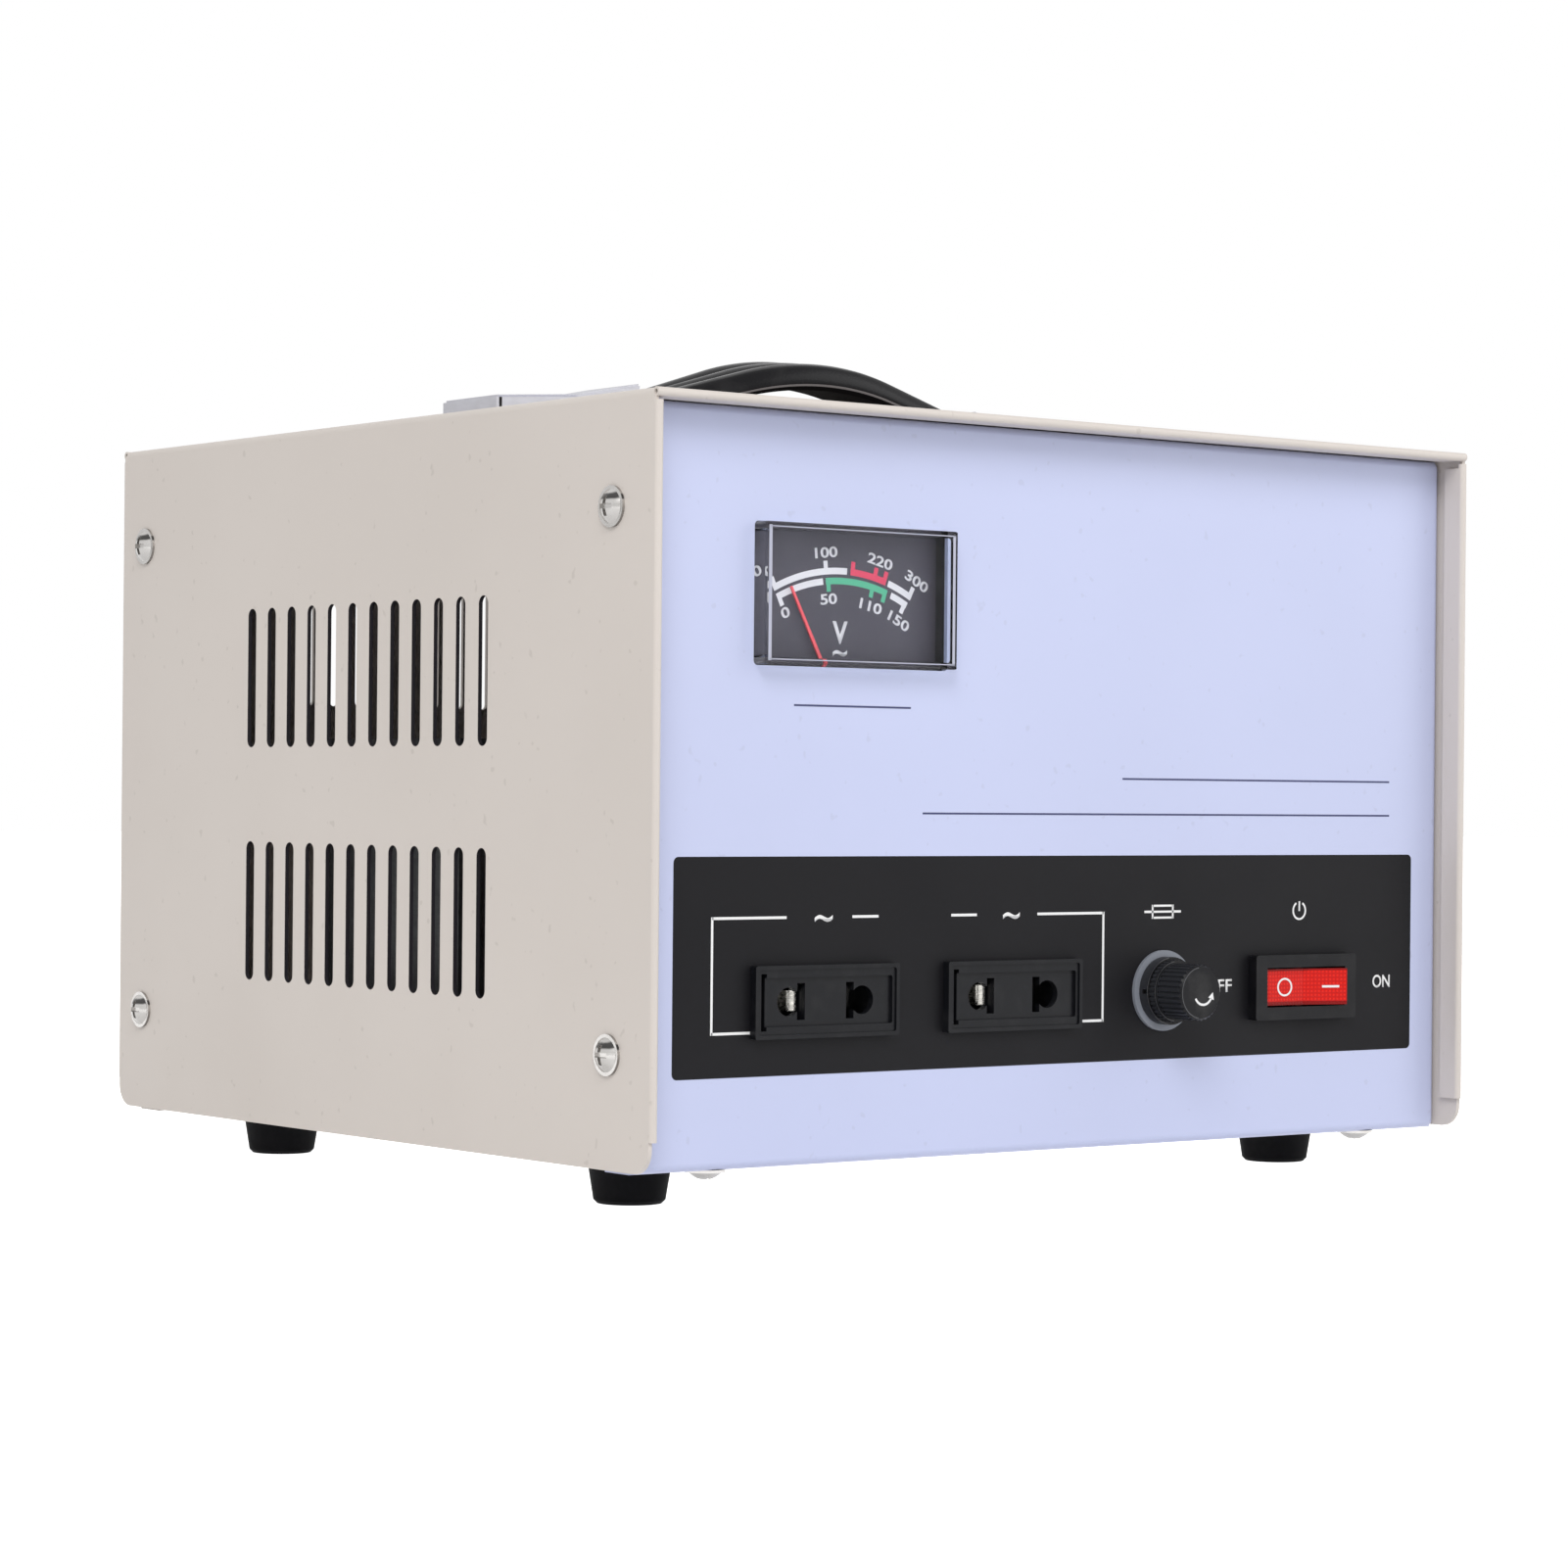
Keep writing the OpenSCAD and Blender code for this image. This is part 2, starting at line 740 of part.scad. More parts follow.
module tray_solid() {
    half = panel_half_w;
    r = panel_bend_r;
    lo = panel_low_z;
    hi = panel_high_z;
    block([-half, half], [r, panel_side_flange], [lo, hi]);
    block([-half + r, half - r], [0, 2 * r], [lo + r, hi - r]);
    for (sx = [-1, 1]) bar_z(sx * (half - r), r, [lo + r, hi - r], r);
    for (z = [lo + r, hi - r]) {
        bar_x([-half + r, half - r], r, z, r);
        for (sx = [-1, 1]) translate([sx * (half - r), r, z]) sphere(r = r);
    }
}

module panel_tray() {
    half = panel_half_w;
    inner = half - panel_t;
    lo = panel_low_z;
    hi = panel_high_z;
    translate([0, panel_recess, 0]) difference() {
        tray_solid();
        block([-inner, inner], [panel_t, panel_side_flange + over], [lo + panel_t, hi - panel_t]);
        block([-cover_w, cover_w], [panel_end_flange, panel_side_flange + over],
            [lo - over, lo + panel_t]);
        block([-cover_w, cover_w], [panel_end_flange, panel_side_flange + over],
            [hi - panel_t, hi + over]);
    }
}

// Holes that the front and rear panels share
module panel_screw_holes() {
    for (y = [side_screw_front, cover_d - side_screw_rear])
        for (z = [side_screw_low_z, side_screw_high_z])
            bar_x([-cover_w, cover_w], y, z, case_screw_r + screw_gap);
    both_ends() both_sides() bar_z(cover_w / 2 - base_screw_inset, base_screw_y,
        [panel_low_z - over, base_under_z + over], case_screw_r + screw_gap);
}

module meter_studs() {
    for (sx = [-1, 1]) bar_y(meter_x + sx * (meter_case_w / 2 + stud_out),
        [meter_flange_y - panel_t / 2, meter_back_y + bridge_t + stud_nut_h + stud_spare],
        (meter_low_z + meter_high_z) / 2, stud_r);
}

module front_panel() {
    cut_y = [panel_recess - over, panel_recess + panel_t + over];
    color("#cdd3f1") place() {
        difference() {
            panel_tray();
            panel_screw_holes();
            face_plate(meter_x, cut_y, meter_z, meter_w + 2 * meter_cut_gap,
                meter_h + 2 * meter_cut_gap, panel_t);
            for (sx = [-1, 1])
                face_plate(sockets_x + sx * socket_pitch / 2, cut_y, control_z,
                    socket_body_w + 2 * socket_cut_gap, socket_body_h + 2 * socket_cut_gap, panel_t);
            bar_y(fuse_x, cut_y, control_z, fuse_tube_r + fuse_hole_gap);
            face_plate(switch_x, cut_y, control_z, switch_body_w + 2 * switch_cut_gap,
                switch_body_h + 2 * switch_cut_gap, panel_t);
        }
        meter_studs();
    }
}

module rear_vent_cut(x) {
    y = [cover_d - panel_recess - panel_t - over, cover_d - panel_recess + over];
    low = rear_vent_z + rear_vent_w / 2;
    high = rear_vent_z + rear_vent_len - rear_vent_w / 2;
    block([x - rear_vent_w / 2, x + rear_vent_w / 2], y, [low, high]);
    bar_y(x, y, low, rear_vent_w / 2);
    bar_y(x, y, high, rear_vent_w / 2);
}

module rear_panel() {
    back_y = [cover_d - panel_recess - panel_t - over, cover_d - panel_recess + over];
    color("#d8d2c6") place() difference() {
        translate([0, cover_d, 0]) mirror([0, 1, 0]) panel_tray();
        panel_screw_holes();
        for (i = [0 : rear_vent_count - 1])
            rear_vent_cut((i - (rear_vent_count - 1) / 2) * rear_vent_pitch);
        bar_y(gland_x, back_y, gland_z, gland_sleeve_r + gland_hole_gap);
        bar_y(earth_x, back_y, earth_z, case_screw_r + screw_gap);
    }
}

module at_feet() {
    for (x = [-1, 1] * (cover_w / 2 - foot_inset_x))
        for (y = [foot_inset_y, cover_d - foot_inset_y]) translate([x, y, 0]) children();
}

module at_bracket_bolts() {
    for (sx = [-1, 1], sy = [-1, 1])
        translate([core_x + sx * bracket_bolt_x,
            core_y + sy * (core_stack / 2 + bracket_t + bracket_foot / 2), 0]) children();
}

module at_board_holes() {
    for (sx = [-1, 1], y = [board_hole_share, 1 - board_hole_share] * board_d)
        translate([board_x + sx * (board_w / 2 - board_hole_inset), board_front + y, 0]) children();
}

module base_plate() {
    color("#b9bcc0") place() difference() {
        union() {
            block([-base_half_w, base_half_w], [base_front_y, base_rear_y], [base_under_z, base_top_z]);
            both_sides() block([base_half_w - base_t, base_half_w], [base_front_y, base_rear_y],
                [base_under_z, base_under_z + base_side_h]);
        }
        both_ends() both_sides() bar_z(cover_w / 2 - base_screw_inset, base_screw_y,
            [base_under_z - over, base_top_z + over], case_screw_r + screw_gap);
        at_feet() bar_z(0, 0, [base_under_z - over, base_top_z + over], case_screw_r + screw_gap);
        at_bracket_bolts() bar_z(0, 0, [base_under_z - over, base_top_z + over],
            core_bolt_r + screw_gap);
        at_board_holes() bar_z(0, 0, [base_under_z - over, base_top_z + over],
            board_screw_r + screw_gap);
    }
}

// Rubber feet, each held by a screw up through its pocket

module foot() {
    edge = (foot_top_r - foot_bottom_r) / 2;
    translate([0, 0, floor_z]) rotate_extrude() polygon([
        [foot_pocket_r, 0],
        [foot_bottom_r - edge, 0],
        [foot_bottom_r, edge],
        [foot_top_r, foot_h],
        [case_screw_r + screw_gap, foot_h],
        [case_screw_r + screw_gap, foot_h - foot_seat_t],
        [foot_pocket_r, foot_h - foot_seat_t]
    ]);
}

module foot_at(sx, y) {
    color("#1b1b1d") place() translate([sx * (cover_w / 2 - foot_inset_x), y, 0]) foot();
}

module foot_screws() {
    color("#c9cbce") place() at_feet() translate([0, 0, base_under_z - foot_seat_t])
        screw(case_screw_r, foot_seat_t + base_t + case_nut_h, case_screw_flange_r,
            case_screw_dome_r, foot_screw_dome_h);
}

module foot_nuts() {
    color("#c9cbce") place() at_feet() translate([0, 0, base_top_z])
        nut(case_screw_r, case_nut_w, case_nut_h);
}

// Case screws and their nuts

module side_screws() {
    stack = sheet_t + panel_side_gap + panel_t + case_nut_h;
    color("#d9d9d6") place() both_sides() at_side_screws()
        translate([cover_w / 2, 0, 0]) rotate([0, -90, 0])
            screw(case_screw_r, stack, case_screw_flange_r, case_screw_dome_r, case_screw_dome_h);
}

module side_nuts() {
    color("#c9cbce") place() both_sides() at_side_screws()
        translate([panel_half_w - panel_t, 0, 0]) rotate([0, -90, 0])
            nut(case_screw_r, case_nut_w, case_nut_h);
}

module base_screws() {
    color("#d9d9d6") place() both_ends() both_sides()
        translate([cover_w / 2 - base_screw_inset, base_screw_y, panel_low_z])
            screw(case_screw_r, panel_t + base_t + case_nut_h, case_screw_flange_r,
                case_screw_dome_r, case_screw_dome_h);
}

module base_nuts() {
    color("#c9cbce") place() both_ends() both_sides()
        translate([cover_w / 2 - base_screw_inset, base_screw_y, base_top_z])
            nut(case_screw_r, case_nut_w, case_nut_h);
}

// Strap handle: an arched strap held under a folded metal cap at each end

// Points along the left half of the strap's line, a lift above its underside:
// straight from x0, the bend at the cap, then the arch, over which the lift swells
function strap_line(x0, lift) = concat(
    [[x0, strap_z + lift]],
    [for (i = [0 : bend_steps]) let (a = strap_slope * i / bend_steps)
        [-arch_half + (strap_bend_r - lift) * sin(a),
            strap_z + strap_bend_r - (strap_bend_r - lift) * cos(a)]],
    [for (i = [1 : arch_steps]) let (
            part = i / arch_steps,
            a = strap_slope * (1 - part),
            r = arch_r + lift * (1 + strap_swell * sin(90 * part))
        ) [-r * sin(a), arch_centre_z + r * cos(a)]]
);

function turned_back(points) = [for (i = [len(points) - 1 : -1 : 0]) points[i]];

// The line carried on over the middle to the other side
function whole_line(x0, lift) = let (half = strap_line(x0, lift))
    concat(half, [for (i = [len(half) - 2 : -1 : 0]) [-half[i][0], half[i][1]]]);

// A layer between two such lines, as wide as given, at y to the middle line of the strap
module layer(under, top, y, w) {
    translate([0, strap_y + y + w / 2, 0]) rotate([90, 0, 0]) linear_extrude(w)
        polygon(concat(under, turned_back(top)));
}

module strap_layer(low, high, y, w) {
    layer(whole_line(strap_end_x, low), whole_line(strap_end_x, high), y, w);
}

// Points along a cap's top: a gentle slope from x0, then a flare up over the strap's arch
function cap_line(x0, z) = [
    [x0, z],
    [-cap_mouth - cap_flare_len, z + cap_slope_rise],
    [-cap_mouth, z + cap_slope_rise + cap_flare_rise]
];

module handle_strap() {
    pocket = handle_nut_w / 2 + handle_nut_play;
    color("#2c2d30") place() difference() {
        union() {
            strap_layer(strap_edge, strap_slab_t - strap_edge, 0, strap_w);
            strap_layer(0, strap_slab_t, 0, strap_w - 2 * strap_edge);
            for (i = [0 : rib_count - 1])
                strap_layer(strap_slab_t / 2, strap_t, (i - (rib_count - 1) / 2) * rib_pitch, rib_w);
        }
        both_sides() {
            bar_z(handle_screw_x, strap_y, [strap_z - over, strap_z + strap_t + over],
                handle_screw_r + screw_gap);
            block([handle_screw_x - pocket, handle_screw_x + pocket],
                [strap_y - pocket, strap_y + pocket],
                [strap_z + strap_t - handle_nut_h, strap_z + strap_t + over]);
        }
    }
}

module handle_cap() {
    inner_w = strap_w + 2 * cap_clear;
    outer_w = inner_w + 2 * cap_t;
    top_z = cover_h + cap_h;
    mouth_x = -cap_mouth + over;
    difference() {
        union() {
            layer([[-cap_reach, cover_h], [-cap_mouth, cover_h]],
                cap_line(-cap_reach, top_z - cap_edge), 0, outer_w);
            layer([[-cap_reach + cap_edge, cover_h], [-cap_mouth, cover_h]],
                cap_line(-cap_reach + cap_edge, top_z), 0, outer_w - 2 * cap_edge);
        }
        layer([[-cap_reach + cap_t, strap_z], [mouth_x, strap_z]],
            concat(cap_line(-cap_reach + cap_t, top_z - cap_t),
                [[mouth_x, top_z - cap_t + cap_slope_rise + cap_flare_rise]]), 0, inner_w);
        block([-arch_half, mouth_x], [strap_y - inner_w / 2, strap_y + inner_w / 2],
            [cover_h - over, strap_z + over]);
        bar_z(-handle_screw_x, strap_y, [cover_h - over, strap_z + over], handle_screw_r + screw_gap);
        for (y = [strap_y - outer_w / 2, strap_y + outer_w / 2])
            block([-cap_reach + cap_t, -cap_reach + cap_t + cap_seam_w],
                [y - cap_t - cap_clear, y + cap_t + cap_clear], [cover_h - over, cover_h + cap_h / 2]);
    }
}

module handle_cap_left() {
    color("#c4c5c9") place() handle_cap();
}

module handle_cap_right() {
    color("#c4c5c9") place() mirror([1, 0, 0]) handle_cap();
}

module handle_screws() {
    color("#c9cbce") place() both_sides() translate([handle_screw_x, strap_y, cover_h - sheet_t])
        screw(handle_screw_r, sheet_t + cap_t + strap_t, handle_flange_r, handle_dome_r,
            handle_dome_h);
}

module handle_nuts() {
    half = handle_nut_w / 2;
    color("#c9cbce") place() both_sides() difference() {
        block([handle_screw_x - half, handle_screw_x + half], [strap_y - half, strap_y + half],
            [strap_z + strap_t - handle_nut_h, strap_z + strap_t]);
        bar_z(handle_screw_x, strap_y, [strap_z, strap_z + strap_t + over], handle_screw_r);
    }
}

// Panel meter: clear front, black case, dial, and a pointer on a shaft

module meter_outline(y, w_less) {
    block([meter_x - meter_case_w / 2 + w_less, meter_x + meter_case_w / 2 - w_less], y,
        [meter_low_z + w_less, meter_high_z - w_less]);
}

module window_edge_cuts() {
    side = meter_chamfer * sqrt(2);
    for (sz = [-1, 1])
        translate([meter_x, meter_face_y, meter_z + sz * meter_h / 2]) rotate([45, 0, 0])
            cube([2 * meter_w, side, side], center = true);
    for (sx = [-1, 1])
        translate([meter_x + sx * meter_w / 2, meter_face_y, meter_z]) rotate([0, 0, 45])
            cube([side, side, 2 * meter_h], center = true);
}

module meter_window() {
    color("#dfe6ea", 0.35) place() difference() {
        union() {
            face_plate(meter_x, [meter_face_y, meter_case_y], meter_z, meter_w, meter_h,
                meter_wall / 2);
            meter_outline([meter_flange_y, meter_case_y], 0);
        }
        face_plate(meter_x, [meter_face_y + meter_wall, meter_case_y + over], meter_z,
            meter_w - 2 * meter_wall, meter_h - 2 * meter_wall, meter_wall / 2);
        window_edge_cuts();
    }
}

module meter_case() {
    back_in = meter_back_y - meter_case_wall;
    post_z = [meter_z - dial_drop + 2 * dial_post_r, meter_z + dial_rise - 2 * dial_post_r];
    post_x = meter_case_w / 2 - meter_case_wall - dial_play - 2 * dial_post_r;
    color("#232326") place() {
        difference() {
            meter_outline([meter_case_y, meter_back_y], 0);
            meter_outline([meter_case_y - over, back_in], meter_case_wall);
        }
        for (sx = [-1, 1], z = post_z)
            bar_y(meter_x + sx * post_x, [dial_y + dial_t, back_in], z, dial_post_r);
        difference() {
            bar_y(meter_x, [back_in - rear_bearing_d, back_in], pivot_z, rear_bearing_r);
            bar_y(meter_x, [back_in - rear_bearing_d - over, back_in], pivot_z,
                shaft_r + shaft_play);
        }
    }
}

module meter_dial() {
    half = meter_case_w / 2 - meter_case_wall - dial_play;
    color("#5b5d63") place()
        block([meter_x - half, meter_x + half], [dial_y, dial_y + dial_t],
            [meter_z - dial_drop, meter_z + dial_rise]);
}

module at_pointer() {
    translate([meter_x, 0, pivot_z]) rotate([0, -pointer_rest, 0]) children();
}

module meter_pointer() {
    color("#e05a64") place() at_pointer() difference() {
        union() {
            translate([0, needle_y + needle_t, 0]) rotate([90, 0, 0]) linear_extrude(needle_t)
                polygon([
                    [-needle_w / 2, -needle_tail],
                    [needle_w / 2, -needle_tail],
                    [needle_w / 2, 0],
                    [needle_tip_w / 2, pointer_len],
                    [-needle_tip_w / 2, pointer_len],
                    [-needle_w / 2, 0]
                ]);
            bar_y(0, [needle_y, needle_y + hub_t], 0, hub_r);
        }
        bar_y(0, [needle_y - over, needle_y + hub_t + over], 0, shaft_r);
    }
}

module pointer_shaft() {
    back_in = meter_back_y - meter_case_wall;
    coil_y = back_in - rear_bearing_d - frame_gap - coil_len;
    color("#b8bcc0") place() at_pointer() {
        bar_y(0, [needle_y, back_in - shaft_end_gap], 0, shaft_r);
        block([-vane_t / 2, vane_t / 2], [coil_y + coil_flange_t, coil_y + coil_len - coil_flange_t],
            [-vane_w / 2, 0]);
    }
}

// Brass bar across the case that carries the shaft's front bearing
module meter_frame() {
    half = meter_case_w / 2 - meter_case_wall;
    bar_front = dial_y + dial_t + frame_gap;
    color("#c8a850") place() difference() {
        block([meter_x - half, meter_x + half], [bar_front, bar_front + frame_bar_t],
            [pivot_z - frame_bar_h / 2, pivot_z + frame_bar_h / 2]);
        bar_y(meter_x, [bar_front - over, bar_front + frame_bar_t + over], pivot_z,
            shaft_r + shaft_play);
    }
}

module meter_coil() {
    back_in = meter_back_y - meter_case_wall;
    rear_y = back_in;
    front_y = rear_y - rear_bearing_d - frame_gap - coil_len;
    color("#a8682c") place() difference() {
        union() {
            bar_y(meter_x, [front_y, rear_y], pivot_z, coil_wind_r);
            bar_y(meter_x, [front_y, front_y + coil_flange_t], pivot_z, coil_r);
            bar_y(meter_x, [rear_y - coil_flange_t, rear_y], pivot_z, coil_r);
        }
        bar_y(meter_x, [front_y - over, rear_y + over], pivot_z, coil_core_r);
    }
}

module meter_bridge() {
    stud_x = meter_case_w / 2 + stud_out;
    half = stud_x + bridge_h / 2;
    z = (meter_low_z + meter_high_z) / 2;
    color("#c9cbce") place() difference() {
        block([meter_x - half, meter_x + half], [meter_back_y, meter_back_y + bridge_t],
            [z - bridge_h / 2, z + bridge_h / 2]);
        for (sx = [-1, 1])
            bar_y(meter_x + sx * stud_x, [meter_back_y - over, meter_back_y + bridge_t + over], z,
                stud_r + screw_gap);
    }
}

module meter_nuts() {
    stud_x = meter_case_w / 2 + stud_out;
    z = (meter_low_z + meter_high_z) / 2;
    color("#c9cbce") place() for (sx = [-1, 1])
        translate([meter_x + sx * stud_x, meter_back_y + bridge_t, z]) rotate([-90, 0, 0])
            nut(stud_r, stud_nut_w, stud_nut_h);
}

// Two-pole sockets that take flat blades or round pins

module socket_cells(y) {
    for (sx = [-1, 1])
        block([min(sx * socket_cell_in, sx * socket_cell_out),
            max(sx * socket_cell_in, sx * socket_cell_out)], y,
            [-socket_cell_h / 2, socket_cell_h / 2]);
}

module socket_body() {
    face_y = panel_recess - socket_proud;
    floor_y = face_y + socket_recess_d;
    back_y = panel_recess + socket_body_d;
    difference() {
        union() {
            face_plate(0, [face_y, panel_recess], 0, socket_w, socket_h, socket_edge_r);
            face_plate(0, [panel_recess, back_y], 0, socket_body_w, socket_body_h, socket_edge_r);
        }
        face_plate(0, [face_y - over, face_y + socket_step_d], 0, socket_step_w, socket_step_h,
            socket_edge_r);
        face_plate(0, [face_y - over, floor_y], 0, socket_recess_w, socket_recess_h, socket_edge_r);
        block([-socket_recess_w / 2, -socket_recess_w / 2 + socket_groove_w],
            [face_y - over, face_y + socket_groove_d], [-socket_groove_h / 2, socket_groove_h / 2]);
        for (sx = [-1, 1]) {
            block([sx * blade_x - blade_w / 2, sx * blade_x + blade_w / 2],
                [face_y - over, floor_y + socket_face_t + over], [-blade_h / 2, blade_h / 2]);
            bar_y(sx * pin_x, [face_y - over, floor_y + socket_face_t + over], 0, pin_r);
            block([sx * pin_x - contact_tab_t / 2, sx * pin_x + contact_tab_t / 2],
                [back_y - socket_back_t - over, back_y + over],
                [-contact_tab_w / 2, contact_tab_w / 2]);
        }
        socket_cells([floor_y + socket_face_t, back_y - socket_back_t]);
    }
}

// Outline of one leaf of the pair that grips a blade, on one side of its middle plane:
// a flared lip, then straight to the back
function leaf_outline(side, leaf_y, back_y) = [
    [side * contact_lip, leaf_y],
    [side * contact_grip, leaf_y + contact_lip_len],
    [side * contact_grip, back_y],
    [side * (contact_grip + contact_t), back_y],
    [side * (contact_grip + contact_t), leaf_y + contact_lip_len],
    [side * (contact_lip + contact_tip_t), leaf_y]
];

// One sprung contact: a pair of leaves for a blade, a third for a pin, and a tab out
module contact() {
    floor_y = panel_recess - socket_proud + socket_recess_d;
    leaf_y = floor_y + contact_start;
    back_y = panel_recess + socket_body_d - socket_back_t - contact_play;
    far = [socket_cell_out - contact_play - contact_t, socket_cell_out - contact_play];
    translate([blade_x, 0, -contact_h / 2]) linear_extrude(contact_h) {
        polygon(leaf_outline(-1, leaf_y, back_y));
        polygon(leaf_outline(1, leaf_y, back_y));
    }
    block(far, [leaf_y + contact_far_start, back_y], [-contact_h / 2, contact_h / 2]);
    block([blade_x - contact_grip - contact_t, far[1]], [back_y - contact_t, back_y],
        [-contact_h / 2, contact_h / 2]);
    block([pin_x - contact_tab_t / 2 + contact_play, pin_x + contact_tab_t / 2 - contact_play],
        [back_y - contact_t, back_y + socket_back_t + contact_tab_len],
        [-contact_tab_w / 2 + contact_play, contact_tab_w / 2 - contact_play]);
}

module socket_at(side) {
    color("#26272a") place() translate([sockets_x + side * socket_pitch / 2, 0, control_z])
        socket_body();
}

module contacts_at(side) {
    color("#d0c9b4") place() translate([sockets_x + side * socket_pitch / 2, 0, control_z])
        both_sides() contact();
}

// Fuse holder: flanged tube, grey ring, nut, and a knurled cap that pulls out the fuse

module fuse_holder() {
    color("#1e1e20") place() translate([fuse_x, 0, control_z]) difference() {
        union() {
            bar_y(0, [fuse_mouth_y, fuse_flange_y], 0, fuse_flange_r);
            bar_y(0, [fuse_flange_y, fuse_tube_y], 0, fuse_tube_r);
        }
        bar_y(0, [fuse_mouth_y - over, fuse_mouth_y + fuse_stem_len + fuse_rim_gap], 0,
            fuse_stem_r + fuse_play);
        bar_y(0, [fuse_mouth_y, fuse_tube_y - fuse_button_t], 0, fuse_deep_r);
        bar_y(0, [fuse_tube_y - fuse_button_t - over, fuse_tube_y + over], 0, fuse_button_r);
        block([-fuse_flange_r - over, -fuse_flange_r + fuse_notch_w],
            [fuse_mouth_y - over, fuse_flange_y - fuse_notch_w],
            [-fuse_notch_w / 2, fuse_notch_w / 2]);
    }
}

module fuse_ring() {
    color("#868992") place() translate([fuse_x, 0, control_z]) difference() {
        bar_y(0, [fuse_flange_y, panel_recess], 0, fuse_ring_r);
        bar_y(0, [fuse_flange_y - over, panel_recess + over], 0, fuse_tube_r + fuse_hole_gap);
    }
}

module fuse_nut() {
    color("#2a2a2c") place() translate([fuse_x, panel_recess + panel_t, control_z])
        rotate([-90, 0, 0]) nut(fuse_tube_r, fuse_nut_w, fuse_nut_h);
}

module fuse_cap() {
    rim_front = fuse_rim_y - fuse_rim_t;
    stem_end = fuse_rim_y + fuse_stem_len;
    color("#1e1e20") place() translate([fuse_x, 0, control_z]) difference() {
        union() {
            bar_y(0, [fuse_face_y + cap_chamfer, rim_front], 0, fuse_cap_r);
            translate([0, fuse_face_y, 0]) rotate([-90, 0, 0])
                cylinder(r1 = fuse_cap_r - cap_chamfer, r2 = fuse_cap_r, h = cap_chamfer);
            bar_y(0, [rim_front, fuse_rim_y], 0, fuse_rim_r);
            bar_y(0, [fuse_rim_y, stem_end], 0, fuse_stem_r);
        }
        bar_y(0, [fuse_link_y - fuse_rim_gap, stem_end + over], 0, fuse_link_r + fuse_link_play);
        for (i = [0 : knurl_count - 1]) rotate([0, i * 360 / knurl_count, 0])
            bar_y(fuse_cap_r, [fuse_face_y - over, rim_front - knurl_r], 0, knurl_r);
        for (i = [0 : rim_knurl_count - 1]) rotate([0, i * 360 / rim_knurl_count, 0])
            bar_y(fuse_rim_r, [rim_front - over, fuse_rim_y + over / 2], 0, rim_knurl_r);
    }
}

module fuse_link() {
    y0 = fuse_link_y;
    y1 = fuse_link_y + fuse_link_len;
    color("#c9cdd0") place() translate([fuse_x, 0, control_z]) {
        bar_y(0, [y0, y0 + fuse_end_len], 0, fuse_link_r);
        bar_y(0, [y0 + fuse_end_len, y1 - fuse_end_len], 0, fuse_glass_r);
        bar_y(0, [y1 - fuse_end_len, y1], 0, fuse_link_r);
    }
}

// Spring-backed end button with its lug, and a side lug on the tube
module fuse_terminals() {
    link_end = fuse_link_y + fuse_link_len;
    color("#d0c9b4") place() translate([fuse_x, 0, control_z]) {
        bar_y(0, [link_end, fuse_tube_y], 0, fuse_button_r);
        block([-fuse_lug_w / 2, fuse_lug_w / 2], [fuse_tube_y, fuse_tube_y + fuse_lug_len],
            [-fuse_lug_t / 2, fuse_lug_t / 2]);
        block([-fuse_lug_w / 2, fuse_lug_w / 2],
            [fuse_tube_y - fuse_lug_len, fuse_tube_y + fuse_lug_len / 2],
            [fuse_tube_r, fuse_tube_r + fuse_lug_t]);
    }
}

// Rocker switch

module switch_body() {
    well_w = rocker_w + 2 * rocker_gap;
    well_h = rocker_h + 2 * rocker_gap;
    color("#242528") place() translate([switch_x, 0, control_z]) difference() {
        union() {
            face_plate(0, [switch_face_y, panel_recess], 0, switch_w, switch_h, switch_edge_r);
            face_plate(0, [panel_recess, panel_recess + switch_body_d], 0, switch_body_w,
                switch_body_h, switch_edge_r);
        }
        block([-well_w / 2, well_w / 2], [switch_face_y - over, switch_face_y + switch_well_d],
            [-well_h / 2, well_h / 2]);
        bar_z(0, rocker_pivot_y, [-well_h / 2 - rocker_pin_len, well_h / 2 + rocker_pin_len],
            rocker_pin_r + rocker_pin_play);
    }
}

// Flat outline of the rocker in its middle position: shallow V face, round ends
module rocker_outline() {
    half = rocker_end_r * cos(rocker_tilt);
    dip_y = rocker_face_drop + switch_face_y - rocker_pivot_y;
    end_y = dip_y - half * tan(rocker_tilt);
    intersection() {
        circle(r = rocker_end_r, $fn = 96);
        polygon([
            [0, dip_y],
            [rocker_end_r, end_y],
            [rocker_end_r, rocker_keel],
            [0, rocker_keel + rocker_boss_r],
            [-rocker_end_r, rocker_keel],
            [-rocker_end_r, end_y]
        ]);
    }
}

module switch_rocker() {
    pin_half = rocker_h / 2 + rocker_gap + rocker_pin_len - rocker_gap / 2;
    color("#cf2a2a") place() translate([switch_x, rocker_pivot_y, control_z])
        rotate([0, 0, -rocker_tilt]) {
            translate([0, 0, -rocker_h / 2]) linear_extrude(rocker_h) rocker_outline();
            bar_z(0, 0, [-pin_half, pin_half], rocker_pin_r);
        }
}

module switch_terminals() {
    y0 = panel_recess + switch_body_d;
    color("#d0c9b4") place() translate([switch_x, 0, control_z]) for (i = [-1, 0, 1])
        block([i * switch_tab_pitch - switch_tab_t / 2, i * switch_tab_pitch + switch_tab_t / 2],
            [y0, y0 + switch_tab_len], [-switch_tab_w / 2, switch_tab_w / 2]);
}

// Transformer: laminated core, bobbin, winding, and brackets down to the base

module at_core() {
    translate([core_x, core_y, base_top_z]) children();
}

module at_core_holes() {
    for (x = [-1, 1] * (core_w / 2 - core_hole_inset))
        for (z = [core_hole_inset, core_h - core_hole_inset]) translate([x, 0, z]) children();
}

